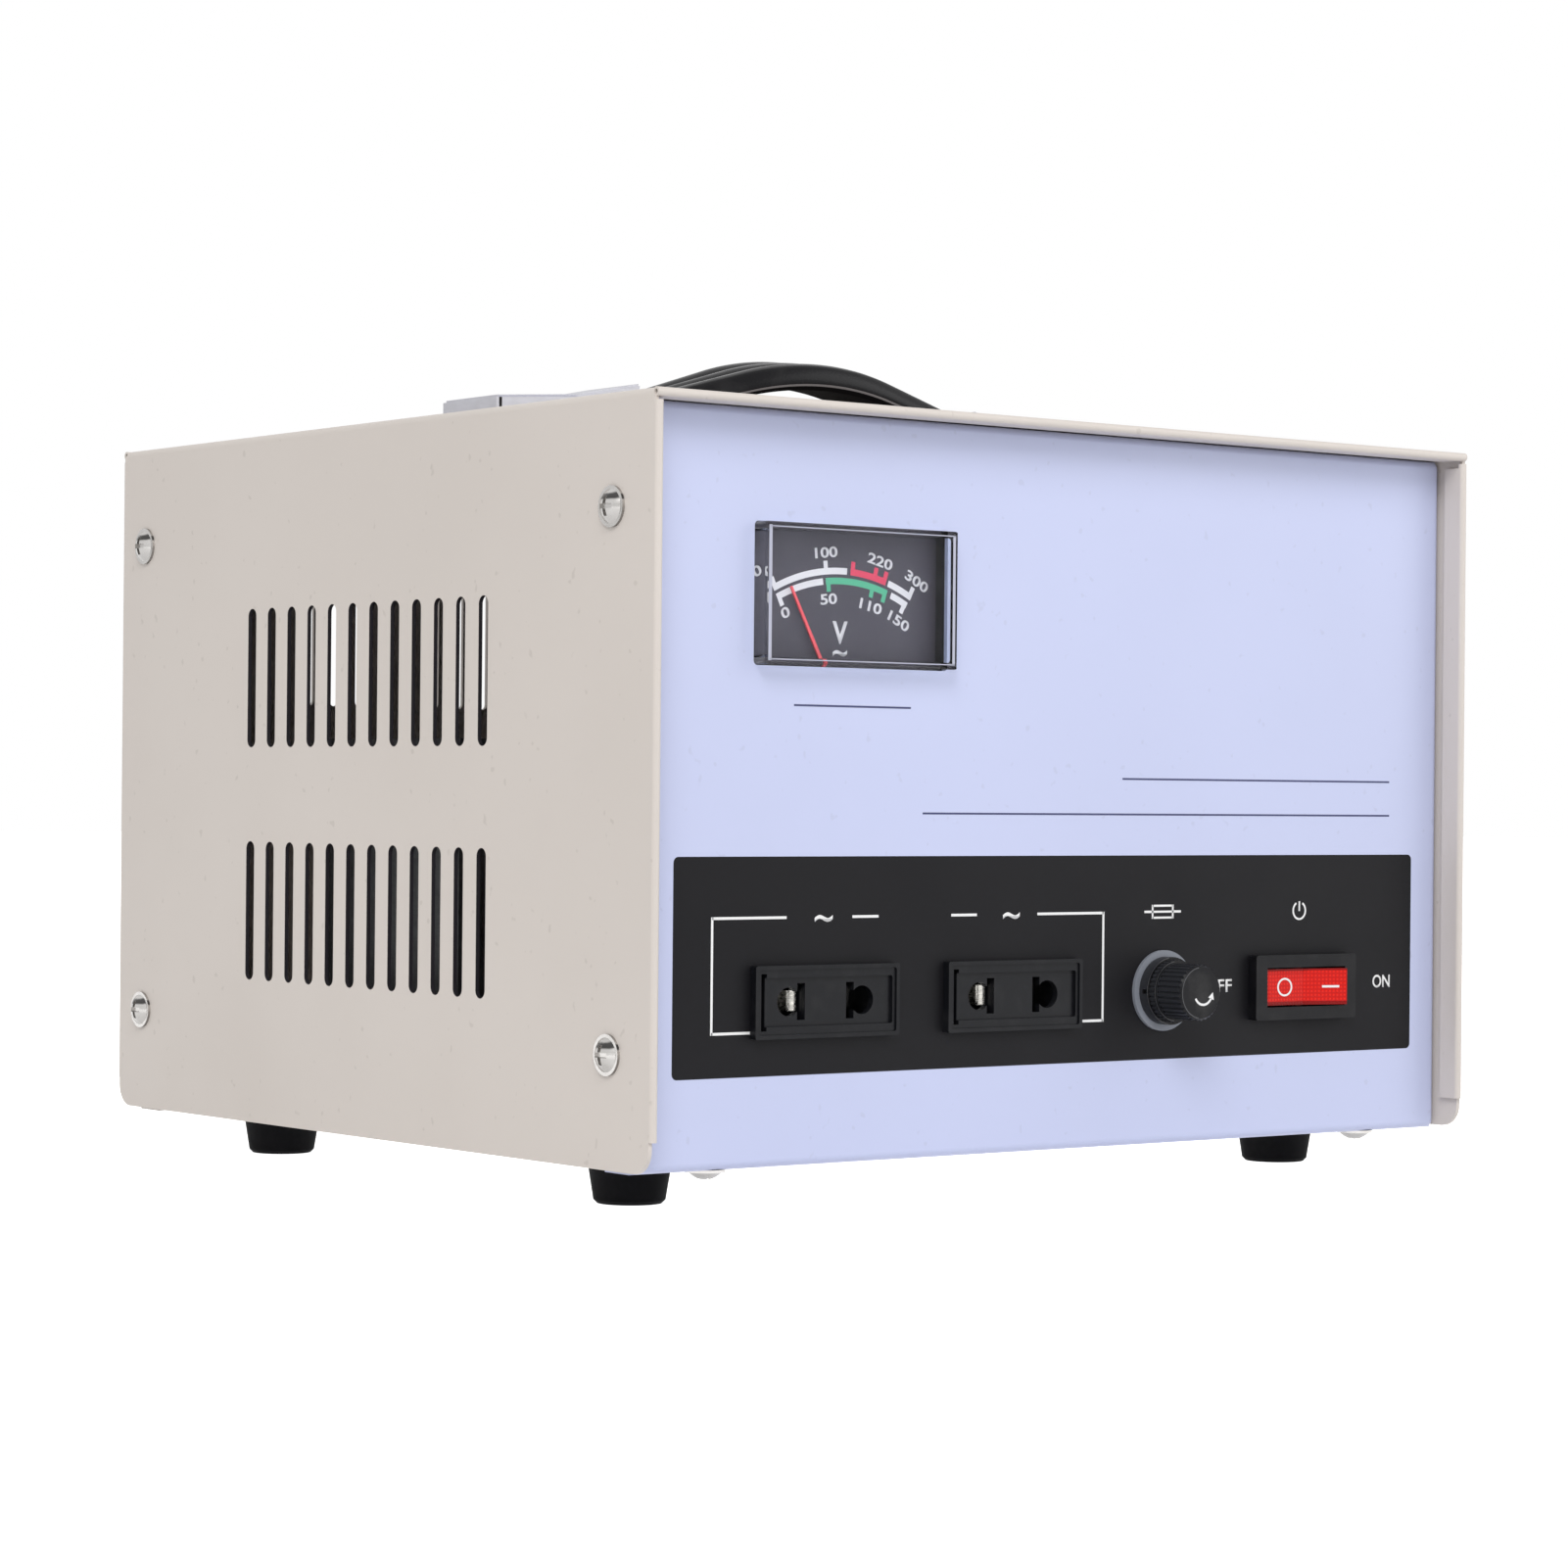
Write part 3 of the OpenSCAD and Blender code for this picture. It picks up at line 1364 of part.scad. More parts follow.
module transformer_core() {
    half = core_stack / 2;
    color("#6d7278") place() at_core() difference() {
        block([-core_w / 2, core_w / 2], [-half, half], [0, core_h]);
        both_sides() block([core_leg / 2, core_leg / 2 + core_yoke], [-half - over, half + over],
            [core_yoke, core_yoke + core_window_h]);
        at_core_holes() bar_y(0, [-half - over, half + over], 0, core_hole_r);
    }
}

module bobbin_plan(grow, r) {
    round_rect(2 * (bobbin_half_w + grow), 2 * (bobbin_half_d + grow), r);
}

module transformer_bobbin() {
    low = core_yoke + bobbin_play / 2;
    high = core_yoke + core_window_h - bobbin_play / 2;
    flange = bobbin_t + winding_build;
    color("#e8e4d4") place() at_core() difference() {
        union() {
            translate([0, 0, low]) linear_extrude(high - low) bobbin_plan(bobbin_t, bobbin_t);
            for (z = [low, high - bobbin_t])
                translate([0, 0, z]) linear_extrude(bobbin_t) bobbin_plan(flange, bobbin_t);
        }
        block([-bobbin_half_w, bobbin_half_w], [-bobbin_half_d, bobbin_half_d],
            [low - over, high + over]);
    }
}

module transformer_winding() {
    low = core_yoke + bobbin_play / 2 + bobbin_t;
    high = core_yoke + core_window_h - bobbin_play / 2 - bobbin_t;
    color("#c98f2e") place() at_core() translate([0, 0, low]) linear_extrude(high - low)
        difference() {
            bobbin_plan(bobbin_t + winding_build - winding_gap, winding_edge_r);
            bobbin_plan(bobbin_t, bobbin_t);
        }
}

module bracket_angle() {
    near = core_stack / 2;
    foot_half = bracket_bolt_x + bracket_bolt_room;
    difference() {
        union() {
            block([-core_w / 2, core_w / 2], [near, near + bracket_t], [0, bracket_h]);
            block([-foot_half, foot_half], [near, near + bracket_t + bracket_foot], [0, bracket_t]);
        }
        for (x = [-1, 1] * (core_w / 2 - core_hole_inset))
            bar_y(x, [near - over, near + bracket_t + over], core_hole_inset, core_hole_r);
        for (x = [-1, 1] * bracket_bolt_x)
            bar_z(x, near + bracket_t + bracket_foot / 2, [-over, bracket_t + over],
                core_bolt_r + screw_gap);
    }
}

module transformer_brackets() {
    color("#a9adb2") place() at_core() {
        bracket_angle();
        mirror([0, 1, 0]) bracket_angle();
    }
}

module core_bolts() {
    half = core_stack / 2;
    color("#c9cbce") place() at_core() at_core_holes() {
        seat = half + bracket_t;
        translate([0, -seat, 0]) rotate([-90, 0, 0])
            screw(core_bolt_r, 2 * seat + core_nut_h, core_bolt_dome_r, core_bolt_dome_r,
                core_bolt_dome_h);
    }
}

module core_nuts() {
    seat = core_stack / 2 + bracket_t;
    color("#c9cbce") place() at_core() at_core_holes()
        translate([0, seat, 0]) rotate([-90, 0, 0]) nut(core_bolt_r, core_nut_w, core_nut_h);
}

module bracket_bolts() {
    color("#d9d9d6") place() at_bracket_bolts() translate([0, 0, base_under_z])
        screw(core_bolt_r, base_t + bracket_t + core_nut_h, case_screw_flange_r, core_bolt_dome_r,
            core_bolt_dome_h);
}

module bracket_nuts() {
    color("#c9cbce") place() at_bracket_bolts() translate([0, 0, base_top_z + bracket_t])
        nut(core_bolt_r, core_nut_w, core_nut_h);
}

// Control board on standoffs, with what it carries

module control_board() {
    color("#2f6b3c") place() difference() {
        block([board_x - board_w / 2, board_x + board_w / 2], [board_front, board_front + board_d],
            [board_z, board_top_z]);
        at_board_holes() bar_z(0, 0, [board_z - over, board_top_z + over],
            board_screw_r + screw_gap);
    }
}

module board_standoffs() {
    color("#c8a850") place() at_board_holes() translate([0, 0, base_top_z])
        nut(board_screw_r + screw_gap, board_nut_w, standoff_h);
}

module board_screws() {
    color("#d9d9d6") place() at_board_holes() translate([0, 0, base_under_z])
        screw(board_screw_r, base_t + standoff_h + board_t + board_nut_h, board_nut_w / 2,
            board_nut_w / 2, case_screw_dome_h);
}

module board_nuts() {
    color("#c9cbce") place() at_board_holes() translate([0, 0, board_top_z])
        nut(board_screw_r, board_nut_w, board_nut_h);
}

module relays() {
    color("#23466e") place() for (i = [0 : relay_count - 1])
        translate([board_x + relay_x, parts_y + relay_d / 2 + i * relay_pitch, board_top_z])
            linear_extrude(relay_h) round_rect(relay_w, relay_d, relay_edge_r);
}

module capacitor(r, h) {
    rotate_extrude() polygon([
        [0, 0],
        [r, 0],
        [r, h * cap_groove_z_share],
        [r - cap_groove_w, h * cap_groove_z_share + cap_groove_w],
        [r, h * cap_groove_z_share + 2 * cap_groove_w],
        [r, h],
        [0, h]
    ]);
}

module capacitors() {
    color("#1d2740") place() translate([board_x - board_w / 4, 0, board_top_z]) {
        translate([0, big_cap_y, 0]) capacitor(big_cap_r, big_cap_h);
        for (side = [-1, 1])
            translate([side * (small_cap_r + part_gap), small_cap_y, 0])
                capacitor(small_cap_r, small_cap_h);
    }
}

module heat_sink() {
    pitch = (sink_w - fin_t) / (fin_count - 1);
    color("#8f949a") place()
        translate([board_x - board_w / 4 - sink_w / 2, sink_y, board_top_z]) {
            block([0, sink_w], [0, sink_back_t], [0, sink_h]);
            for (i = [0 : fin_count - 1])
                block([i * pitch, i * pitch + fin_t], [sink_back_t / 2, sink_d], [0, sink_h]);
        }
}

module terminal_block() {
    pole = terminal_w / terminal_poles;
    color("#2f8f4e") place() translate([board_x, 0, board_top_z]) difference() {
        block([-terminal_w / 2, terminal_w / 2], [terminal_y, terminal_y + terminal_d], [0, terminal_h]);
        for (i = [0 : terminal_poles - 1])
            bar_z((i - (terminal_poles - 1) / 2) * pole, terminal_y + terminal_d / 2,
                [terminal_h - terminal_screw_r, terminal_h + over], terminal_screw_r);
    }
}

// Rear fittings

module cord_gland() {
    panel_y = cover_d - panel_recess;
    color("#202023") place() translate([gland_x, panel_y, gland_z]) difference() {
        union() {
            bar_y(0, [0, gland_collar_t], 0, gland_collar_r);
            bar_y(0, [-gland_sleeve_len, 0], 0, gland_sleeve_r);
        }
        bar_y(0, [-gland_sleeve_len - over, gland_collar_t + over], 0, gland_bore_r);
        for (sx = [-1, 1])
            block([min(sx * gland_collar_r * gland_flat_share, sx * 2 * gland_collar_r),
                max(sx * gland_collar_r * gland_flat_share, sx * 2 * gland_collar_r)],
                [panel_t, gland_collar_t + over], [-gland_collar_r, gland_collar_r]);
    }
}

module gland_nut() {
    color("#202023") place()
        translate([gland_x, cover_d - panel_recess - panel_t - gland_nut_h, gland_z])
            rotate([-90, 0, 0]) nut(gland_sleeve_r, gland_nut_w, gland_nut_h);
}

// Earth screw through the rear panel, with its nut on the inside
module earth_screw() {
    panel_y = cover_d - panel_recess;
    color("#c8a850") place() translate([earth_x, panel_y, earth_z]) {
        rotate([90, 0, 0]) screw(case_screw_r, panel_t + 2 * case_nut_h, case_screw_flange_r,
            case_screw_dome_r, case_screw_dome_h);
        translate([0, -panel_t, 0]) rotate([90, 0, 0]) nut(case_screw_r, case_nut_w, case_nut_h);
    }
}

cover();
front_panel();
rear_panel();
base_plate();
foot_at(-1, foot_inset_y);  // foot_front_left
foot_at(1, foot_inset_y);  // foot_front_right
foot_at(-1, cover_d - foot_inset_y);  // foot_rear_left
foot_at(1, cover_d - foot_inset_y);  // foot_rear_right
foot_screws();
foot_nuts();
side_screws();
side_nuts();
base_screws();
base_nuts();
handle_strap();
handle_cap_left();
handle_cap_right();
handle_screws();
handle_nuts();
meter_window();
meter_case();
meter_dial();
meter_pointer();
pointer_shaft();
meter_frame();
meter_coil();
meter_bridge();
meter_nuts();
socket_at(-1);  // socket_left
socket_at(1);  // socket_right
contacts_at(-1);  // socket_left_contacts
contacts_at(1);  // socket_right_contacts
fuse_holder();
fuse_ring();
fuse_nut();
fuse_cap();
fuse_link();
fuse_terminals();
switch_body();
switch_rocker();
switch_terminals();
transformer_core();
transformer_bobbin();
transformer_winding();
transformer_brackets();
core_bolts();
core_nuts();
bracket_bolts();
bracket_nuts();
control_board();
board_standoffs();
board_screws();
board_nuts();
relays();
capacitors();
heat_sink();
terminal_block();
cord_gland();
gland_nut();
earth_screw();
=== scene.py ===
# %% [markdown]
# # Finishing a voltage stabilizer
#
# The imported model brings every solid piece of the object: the folded case, its panels, the strap
# handle, the pointer meter, two sockets, a fuse holder and a rocker switch. This lesson adds what
# makes the pieces look real: paint, moulded plastic and metal, the printed marks on the panel and
# the dial, a soft strap, and the light. The model itself is never moved, so every new piece is
# placed by the sizes that the model already has.

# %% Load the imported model
import math

import bpy
from mathutils import Matrix, Vector


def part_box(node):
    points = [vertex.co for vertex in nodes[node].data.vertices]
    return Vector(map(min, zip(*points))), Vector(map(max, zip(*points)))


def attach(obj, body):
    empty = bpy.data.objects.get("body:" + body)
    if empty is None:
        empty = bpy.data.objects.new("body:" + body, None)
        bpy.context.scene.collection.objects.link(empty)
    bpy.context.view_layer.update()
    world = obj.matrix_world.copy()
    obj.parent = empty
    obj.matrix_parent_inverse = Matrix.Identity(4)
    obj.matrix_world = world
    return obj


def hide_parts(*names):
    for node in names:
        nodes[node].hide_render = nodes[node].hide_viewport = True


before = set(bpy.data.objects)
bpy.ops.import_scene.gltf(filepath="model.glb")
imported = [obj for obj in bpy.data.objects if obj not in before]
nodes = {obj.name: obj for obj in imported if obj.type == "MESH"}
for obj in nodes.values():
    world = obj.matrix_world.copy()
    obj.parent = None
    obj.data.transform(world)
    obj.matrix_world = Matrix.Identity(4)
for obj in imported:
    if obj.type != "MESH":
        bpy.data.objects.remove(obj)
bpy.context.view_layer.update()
MM = 0.001

# %% [markdown]
# Places are easier to read in the case's own millimetres: X from the middle, Y back from the
# cover's front edge, Z up from its lower edge. The cover's box gives that corner, so one helper
# turns such a place into the shared frame in metres.

# %% Places in the case's own millimetres
cover_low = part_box("cover")[0]


def place(x, y, z):
    return Vector((x * MM, cover_low.y + y * MM, cover_low.z + z * MM))


def front_of(node):
    """Distance of a node's front from the cover's front edge, in millimetres."""
    return (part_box(node)[0].y - cover_low.y) / MM


def middle_of(node):
    """Middle of a node seen from the front: X and Z in the case's millimetres."""
    low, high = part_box(node)
    return (low.x + high.x) / 2 / MM, ((low.z + high.z) / 2 - cover_low.z) / MM


panel_y = front_of("front_panel")
dial_y = front_of("meter_dial")
print("panel face at", round(panel_y, 2), "mm, dial at", round(dial_y, 2), "mm")

# %% [markdown]
# ## The camera
#
# The camera stands low and to the left, far enough for a long lens. Its place and its three axes
# were solved from the corners of the case, so they are written as one matrix: right, up and back.

# %% Set up the camera
SENSOR_MM = 36
PHOTO_PX = 1601
FOCAL_PX = 4188.4
CAMERA_X = -585.15
CAMERA_Y = -652.28
CAMERA_Z = 75.66
camera_right = Vector((0.79229, -0.61007, 0.00909))
camera_down = Vector((0.00835, -0.00406, -0.99996))
camera_forward = Vector((0.61008, 0.79233, 0.00188))
CLIP_NEAR_M = 0.01
CLIP_FAR_M = 50


def make_camera():
    bpy.ops.object.select_all(action="DESELECT")
    bpy.ops.object.camera_add(location=(0, 0, 0))
    camera = bpy.context.object
    camera.name = "photo_camera"
    axes = Matrix((camera_right, -camera_down, -camera_forward)).transposed()
    camera.matrix_world = Matrix.Translation(place(CAMERA_X, CAMERA_Y, CAMERA_Z)) @ axes.to_4x4()
    camera.data.sensor_width = SENSOR_MM
    camera.data.lens = SENSOR_MM * FOCAL_PX / PHOTO_PX
    camera.data.clip_start = CLIP_NEAR_M
    camera.data.clip_end = CLIP_FAR_M
    bpy.context.scene.camera = camera
    print("lens", round(camera.data.lens, 2), "mm")


make_camera()

# %% [markdown]
# ## Shared surface effects
#
# Several finishes need the same effects: the fine peel of baked paint, the grain of moulded
# plastic, the streaks of drawn metal, and faint smudges from hands. Each effect is a node group
# with named inputs, so a material only says how much of it there is.

# %% A helper that starts a node group
def start_group(name, inputs, outputs):
    group = bpy.data.node_groups.new(name, "ShaderNodeTree")
    for socket, kind, value in inputs:
        made = group.interface.new_socket(socket, in_out="INPUT", socket_type=kind)
        made.default_value = value
    for socket, kind in outputs:
        group.interface.new_socket(socket, in_out="OUTPUT", socket_type=kind)
    entry = group.nodes.new("NodeGroupInput")
    result = group.nodes.new("NodeGroupOutput")
    print("group", name)
    return group, entry, result


COLOR = "NodeSocketColor"
FLOAT = "NodeSocketFloat"
WHITE = (1, 1, 1, 1)


def noise_in(group, scale, detail=3.0, stretch=None):
    """A noise on Object coordinates, in cells per metre, drawn out along an axis if asked."""
    coordinates = group.nodes.new("ShaderNodeTexCoord")
    noise = group.nodes.new("ShaderNodeTexNoise")
    noise.inputs["Scale"].default_value = scale
    noise.inputs["Detail"].default_value = detail
    source = coordinates.outputs["Object"]
    if stretch:
        mapping = group.nodes.new("ShaderNodeMapping")
        mapping.inputs["Scale"].default_value = stretch
        group.links.new(source, mapping.inputs["Vector"])
        source = mapping.outputs["Vector"]
    group.links.new(source, noise.inputs["Vector"])
    return noise.outputs["Fac"]


print("a group starts with its sockets, and its noises are in cells per metre")

# %% [markdown]
# Inside a group, every step takes what comes out of the step before it, or a plain number. The
# steps could be linked one by one each time. A few helpers do it in one line each, so the lines of
# an effect read in the order in which the effect works.

# %% Helpers for the steps inside a group
MIX_FIRST = 6
MIX_SECOND = 7
MIX_RESULT = 2
GRIME = (0.55, 0.53, 0.5, 1)


def put_in(group, value, socket):
    """Links what another step puts out, or writes a plain number or colour."""
    if isinstance(value, bpy.types.NodeSocket):
        group.links.new(value, socket)
    else:
        socket.default_value = value


def math_in(group, operation, first, second, clamp=False):
    """A maths step between two values."""
    node = group.nodes.new("ShaderNodeMath")
    node.operation = operation
    node.use_clamp = clamp
    put_in(group, first, node.inputs[0])
    put_in(group, second, node.inputs[1])
    return node.outputs[0]


def ramp_in(group, value, low, high):
    """Spreads a value between two limits over 0 to 1."""
    node = group.nodes.new("ShaderNodeMapRange")
    group.links.new(value, node.inputs["Value"])
    node.inputs["From Min"].default_value = low
    node.inputs["From Max"].default_value = high
    return node.outputs["Result"]


def mix_in(group, share, first, second, blend="MIX"):
    """Goes from the first colour to the second as the share grows."""
    node = group.nodes.new("ShaderNodeMix")
    node.data_type = "RGBA"
    node.blend_type = blend
    put_in(group, share, node.inputs["Factor"])
    put_in(group, first, node.inputs[MIX_FIRST])
    put_in(group, second, node.inputs[MIX_SECOND])
    return node.outputs[MIX_RESULT]


def shade_in(group, color, amount, pattern):
    """Darkens a colour by an amount where a pattern is strong."""
    share = math_in(group, "MULTIPLY", amount, pattern, True)
    return mix_in(group, share, color, GRIME, "MULTIPLY")


print("steps: maths, ramp, mix and shade")

# %% [markdown]
# ### Baked paint
#
# The case and its panels are sprayed and baked. Such paint dries with a very fine peel, drifts a
# little in tone and holds a few specks. A photograph of paint could show that too, but noise in the
# piece's own coordinates has no seams and stays sharp from near by.

# %% Baked paint: a slow drift of tone, tiny specks and a fine peel
DRIFT_CELLS = 9
DRIFT_RAMP = (0.35, 0.75)
SPECK_CELLS = 420
SPECK_RAMP = (0.72, 0.78)
SMUDGE_CELLS = 28
SMUDGE_RAMP = (0.4, 0.7)
SMUDGE_DULLS = 0.1
PEEL_CELLS = 1500


def make_baked_paint():
    group, entry, result = start_group(
        "baked paint",
        [("Color", COLOR, WHITE), ("Drift", FLOAT, 0.2), ("Specks", FLOAT, 0.4),
         ("Roughness", FLOAT, 0.4)],
        [("Color", COLOR), ("Roughness", FLOAT), ("Height", FLOAT)])
    slow = ramp_in(group, noise_in(group, DRIFT_CELLS), *DRIFT_RAMP)
    toned = shade_in(group, entry.outputs["Color"], entry.outputs["Drift"], slow)
    specks = ramp_in(group, noise_in(group, SPECK_CELLS, detail=1.0), *SPECK_RAMP)
    speckled = shade_in(group, toned, entry.outputs["Specks"], specks)
    group.links.new(speckled, result.inputs["Color"])
    smudge = ramp_in(group, noise_in(group, SMUDGE_CELLS), *SMUDGE_RAMP)
    dulled = math_in(group, "MULTIPLY", smudge, SMUDGE_DULLS)
    rough = math_in(group, "ADD", entry.outputs["Roughness"], dulled)
    group.links.new(rough, result.inputs["Roughness"])
    group.links.new(noise_in(group, PEEL_CELLS, detail=2.0), result.inputs["Height"])
    return group


baked_paint = make_baked_paint()

# %% [markdown]
# ### Moulded plastic
#
# The sockets, the switch, the fuse holder and the feet are moulded. Their skin takes a fine grain
# from the mould, and dust settles on it in patches. Dust could be modelled as a layer of its own,
# but it is far too thin to have an edge, so it only mixes a grey into the colour.

# %% Moulded plastic: fine grain, dust in patches
DUST_CELLS = 160
DUST_RAMP = (0.5, 0.85)
DUST_GREY = (0.3, 0.29, 0.28, 1)
DUST_DULLS = 0.2
GRAIN_CELLS = 2500


def make_moulded_plastic():
    group, entry, result = start_group(
        "moulded plastic",
        [("Color", COLOR, WHITE), ("Dust", FLOAT, 0.3), ("Roughness", FLOAT, 0.45)],
        [("Color", COLOR), ("Roughness", FLOAT), ("Height", FLOAT)])
    dust = ramp_in(group, noise_in(group, DUST_CELLS, detail=4.0), *DUST_RAMP)
    amount = math_in(group, "MULTIPLY", entry.outputs["Dust"], dust, True)
    dust_and_sheen = mix_in(group, amount, entry.outputs["Color"], DUST_GREY)
    group.links.new(dust_and_sheen, result.inputs["Color"])
    dulled = math_in(group, "MULTIPLY", dust, DUST_DULLS)
    rough = math_in(group, "ADD", entry.outputs["Roughness"], dulled)
    group.links.new(rough, result.inputs["Roughness"])
    group.links.new(noise_in(group, GRAIN_CELLS, detail=2.0), result.inputs["Height"])
    return group


moulded_plastic = make_moulded_plastic()

# %% [markdown]
# ### Drawn metal
#
# Screws, caps and brackets are made of drawn or rolled metal, which keeps long faint streaks. A
# stretched noise gives streaks of any length without drawing a single one, and a second noise
# brings a little tarnish.

# %% Drawn metal: long streaks and a little tarnish
TARNISH_CELLS = 220
TARNISH_RAMP = (0.45, 0.8)
STREAK_CELLS = 300
STREAK_STRETCH = (0.06, 1.0, 6.0)
STREAK_RAMP = (0.3, 0.7)
STREAK_DULLS = 0.16


def make_drawn_metal():
    group, entry, result = start_group(
        "drawn metal",
        [("Color", COLOR, WHITE), ("Tarnish", FLOAT, 0.3), ("Roughness", FLOAT, 0.3)],
        [("Color", COLOR), ("Roughness", FLOAT), ("Height", FLOAT)])
    tarnish = ramp_in(group, noise_in(group, TARNISH_CELLS, detail=5.0), *TARNISH_RAMP)
    toned = shade_in(group, entry.outputs["Color"], entry.outputs["Tarnish"], tarnish)
    group.links.new(toned, result.inputs["Color"])
    streaks = noise_in(group, STREAK_CELLS, stretch=STREAK_STRETCH)
    dulled = math_in(group, "MULTIPLY", ramp_in(group, streaks, *STREAK_RAMP), STREAK_DULLS)
    rough = math_in(group, "ADD", entry.outputs["Roughness"], dulled)
    group.links.new(rough, result.inputs["Roughness"])
    group.links.new(streaks, result.inputs["Height"])
    return group


drawn_metal = make_drawn_metal()

# %% [markdown]
# ## Finishes
#
# A material is then short: one Principled shader, one group with its own values, and a bump that
# takes the group's height. Uniform numbers, such as the coat, stay on the shader's own sockets.

# %% Build a material from a group
BUMP_DEPTH_M = 0.0001


def make_finish(name, group, color, metallic=0.0, bump=0.1, coat=0.0, shine=0.5, **values):
    material = bpy.data.materials.new(name)
    material.use_nodes = True
    tree = material.node_tree
    shader = tree.nodes["Principled BSDF"]
    effect = tree.nodes.new("ShaderNodeGroup")
    effect.node_tree = group
    effect.inputs["Color"].default_value = (*color, 1)
    for socket, value in values.items():
        effect.inputs[socket].default_value = value
    height = tree.nodes.new("ShaderNodeBump")
    height.inputs["Strength"].default_value = bump
    height.inputs["Distance"].default_value = BUMP_DEPTH_M
    tree.links.new(effect.outputs["Color"], shader.inputs["Base Color"])
    tree.links.new(effect.outputs["Roughness"], shader.inputs["Roughness"])
    tree.links.new(effect.outputs["Height"], height.inputs["Height"])
    tree.links.new(height.outputs["Normal"], shader.inputs["Normal"])
    shader.inputs["Metallic"].default_value = metallic
    shader.inputs["Coat Weight"].default_value = coat
    shader.inputs["Specular IOR Level"].default_value = shine
    material.diffuse_color = (*color, 1)
    return material


def count_finishes(kind):
    print(kind, "done, materials so far:", len(bpy.data.materials))


print("materials before the first finish:", len(bpy.data.materials))

# %% [markdown]
# ### Paints
#
# The folded case is a warm light grey and the front panel a pale blue. The dial, its pointer and
# the board's lacquer are thin coats as well, so they share the paint's effect with less drift.

# %% Mix the paints
CASE_GREY = (0.62, 0.568, 0.527)
panel_paint = make_finish("panel paint", baked_paint, (0.525, 0.565, 0.78), bump=0.08,
                          Drift=0.1, Specks=0.15, Roughness=0.4)
rear_paint = make_finish("rear paint", baked_paint, CASE_GREY, bump=0.12,
                         Drift=0.1, Specks=0.25, Roughness=0.42)
dial_paint = make_finish("dial paint", baked_paint, (0.062, 0.056, 0.075), bump=0.05,
                         Drift=0.15, Specks=0.2, Roughness=0.6)
pointer_paint = make_finish("pointer paint", baked_paint, (0.8, 0.085, 0.11), bump=0.05,
                            Drift=0.1, Specks=0.1, Roughness=0.35)
board_lacquer = make_finish("board lacquer", baked_paint, (0.025, 0.13, 0.05), bump=0.05, coat=0.4,
                            Drift=0.3, Specks=0.3, Roughness=0.35)
count_finishes("paints")

# %% [markdown]
# ### Metals
#
# Cheap fasteners are zinc plated, and the handle's caps are a softer satin metal. Contacts are brass,
# bare or tinned. One effect serves them all, because what sets them apart is mostly their colour and
# how sharply they mirror.

# %% Choose the metals
zinc_plate = make_finish("zinc plate", drawn_metal, (0.6, 0.6, 0.6),
                         metallic=1.0, bump=0.15, Tarnish=0.4, Roughness=0.38)
satin_cap = make_finish("satin cap metal", drawn_metal, (0.5, 0.5, 0.54),
                        metallic=0.85, bump=0.1, Tarnish=0.15, Roughness=0.4)
plain_brass = make_finish("plain brass", drawn_metal, (0.7, 0.48, 0.18),
                          metallic=1.0, bump=0.1, Tarnish=0.5, Roughness=0.3)
tinned_brass = make_finish("tinned brass", drawn_metal, (0.78, 0.77, 0.74),
                           metallic=1.0, bump=0.1, Tarnish=0.15, Roughness=0.15)
shaft_steel = make_finish("shaft steel", drawn_metal, (0.55, 0.56, 0.58),
                          metallic=1.0, bump=0.1, Tarnish=0.2, Roughness=0.25)
core_iron = make_finish("varnished iron", drawn_metal, (0.14, 0.145, 0.15),
                        metallic=0.6, bump=0.5, Tarnish=0.6, Roughness=0.4)
sink_metal = make_finish("black anodised aluminium", drawn_metal, (0.06, 0.06, 0.065),
                         metallic=0.8, bump=0.1, Tarnish=0.2, Roughness=0.4)
count_finishes("metals")

# %% [markdown]
# ### Plastics and rubber
#
# The blacks of the controls are nearly the same, so a low shine and a little dust do more for them
# than colour. The lower the shine, the less a black piece is greyed by the bright room around it.

# %% Choose the plastics on the outside
foot_rubber = make_finish("foot rubber", moulded_plastic, (0.004, 0.004, 0.005), bump=0.3,
                          shine=0.08, Dust=0.03, Roughness=0.7)
meter_black = make_finish("meter case plastic", moulded_plastic, (0.014, 0.014, 0.016), bump=0.2,
                          shine=0.3, Dust=0.08, Roughness=0.5)
socket_plastic = make_finish("socket plastic", moulded_plastic, (0.0058, 0.0062, 0.008),
                             bump=0.15, shine=0.17, Dust=0.03, Roughness=0.34)
fuse_plastic = make_finish("fuse plastic", moulded_plastic, (0.0055, 0.0055, 0.007), bump=0.15,
                           shine=0.17, Dust=0.04, Roughness=0.34)
# Painted highlight for the fuse's round edges.
painted_rim_highlight = make_finish("rubbed edge", moulded_plastic, (0.05, 0.051, 0.056), bump=0.1,
                          shine=0.4, Dust=0.1, Roughness=0.3)
# Painted highlight for thin edges that catch the light.
painted_edge_glint = make_finish("painted edge glint", moulded_plastic, (0.45, 0.46, 0.56), bump=0.0,
                            Dust=0.0, Roughness=0.15)
ring_plastic = make_finish("ring plastic", moulded_plastic, (0.2, 0.215, 0.25), bump=0.2,
                           Dust=0.2, Roughness=0.6)
switch_plastic = make_finish("switch plastic", moulded_plastic, (0.0055, 0.0055, 0.007), bump=0.12,
                             shine=0.15, Dust=0.03, Roughness=0.32)
count_finishes("outer plastics")

# %% [markdown]
# The pieces inside show only as hints of colour through the slots: a green terminal block, blue
# relays, dark sleeves and a pale bobbin. They still get what such pieces have, because a part may be
# opened, cut or shown without its cover.

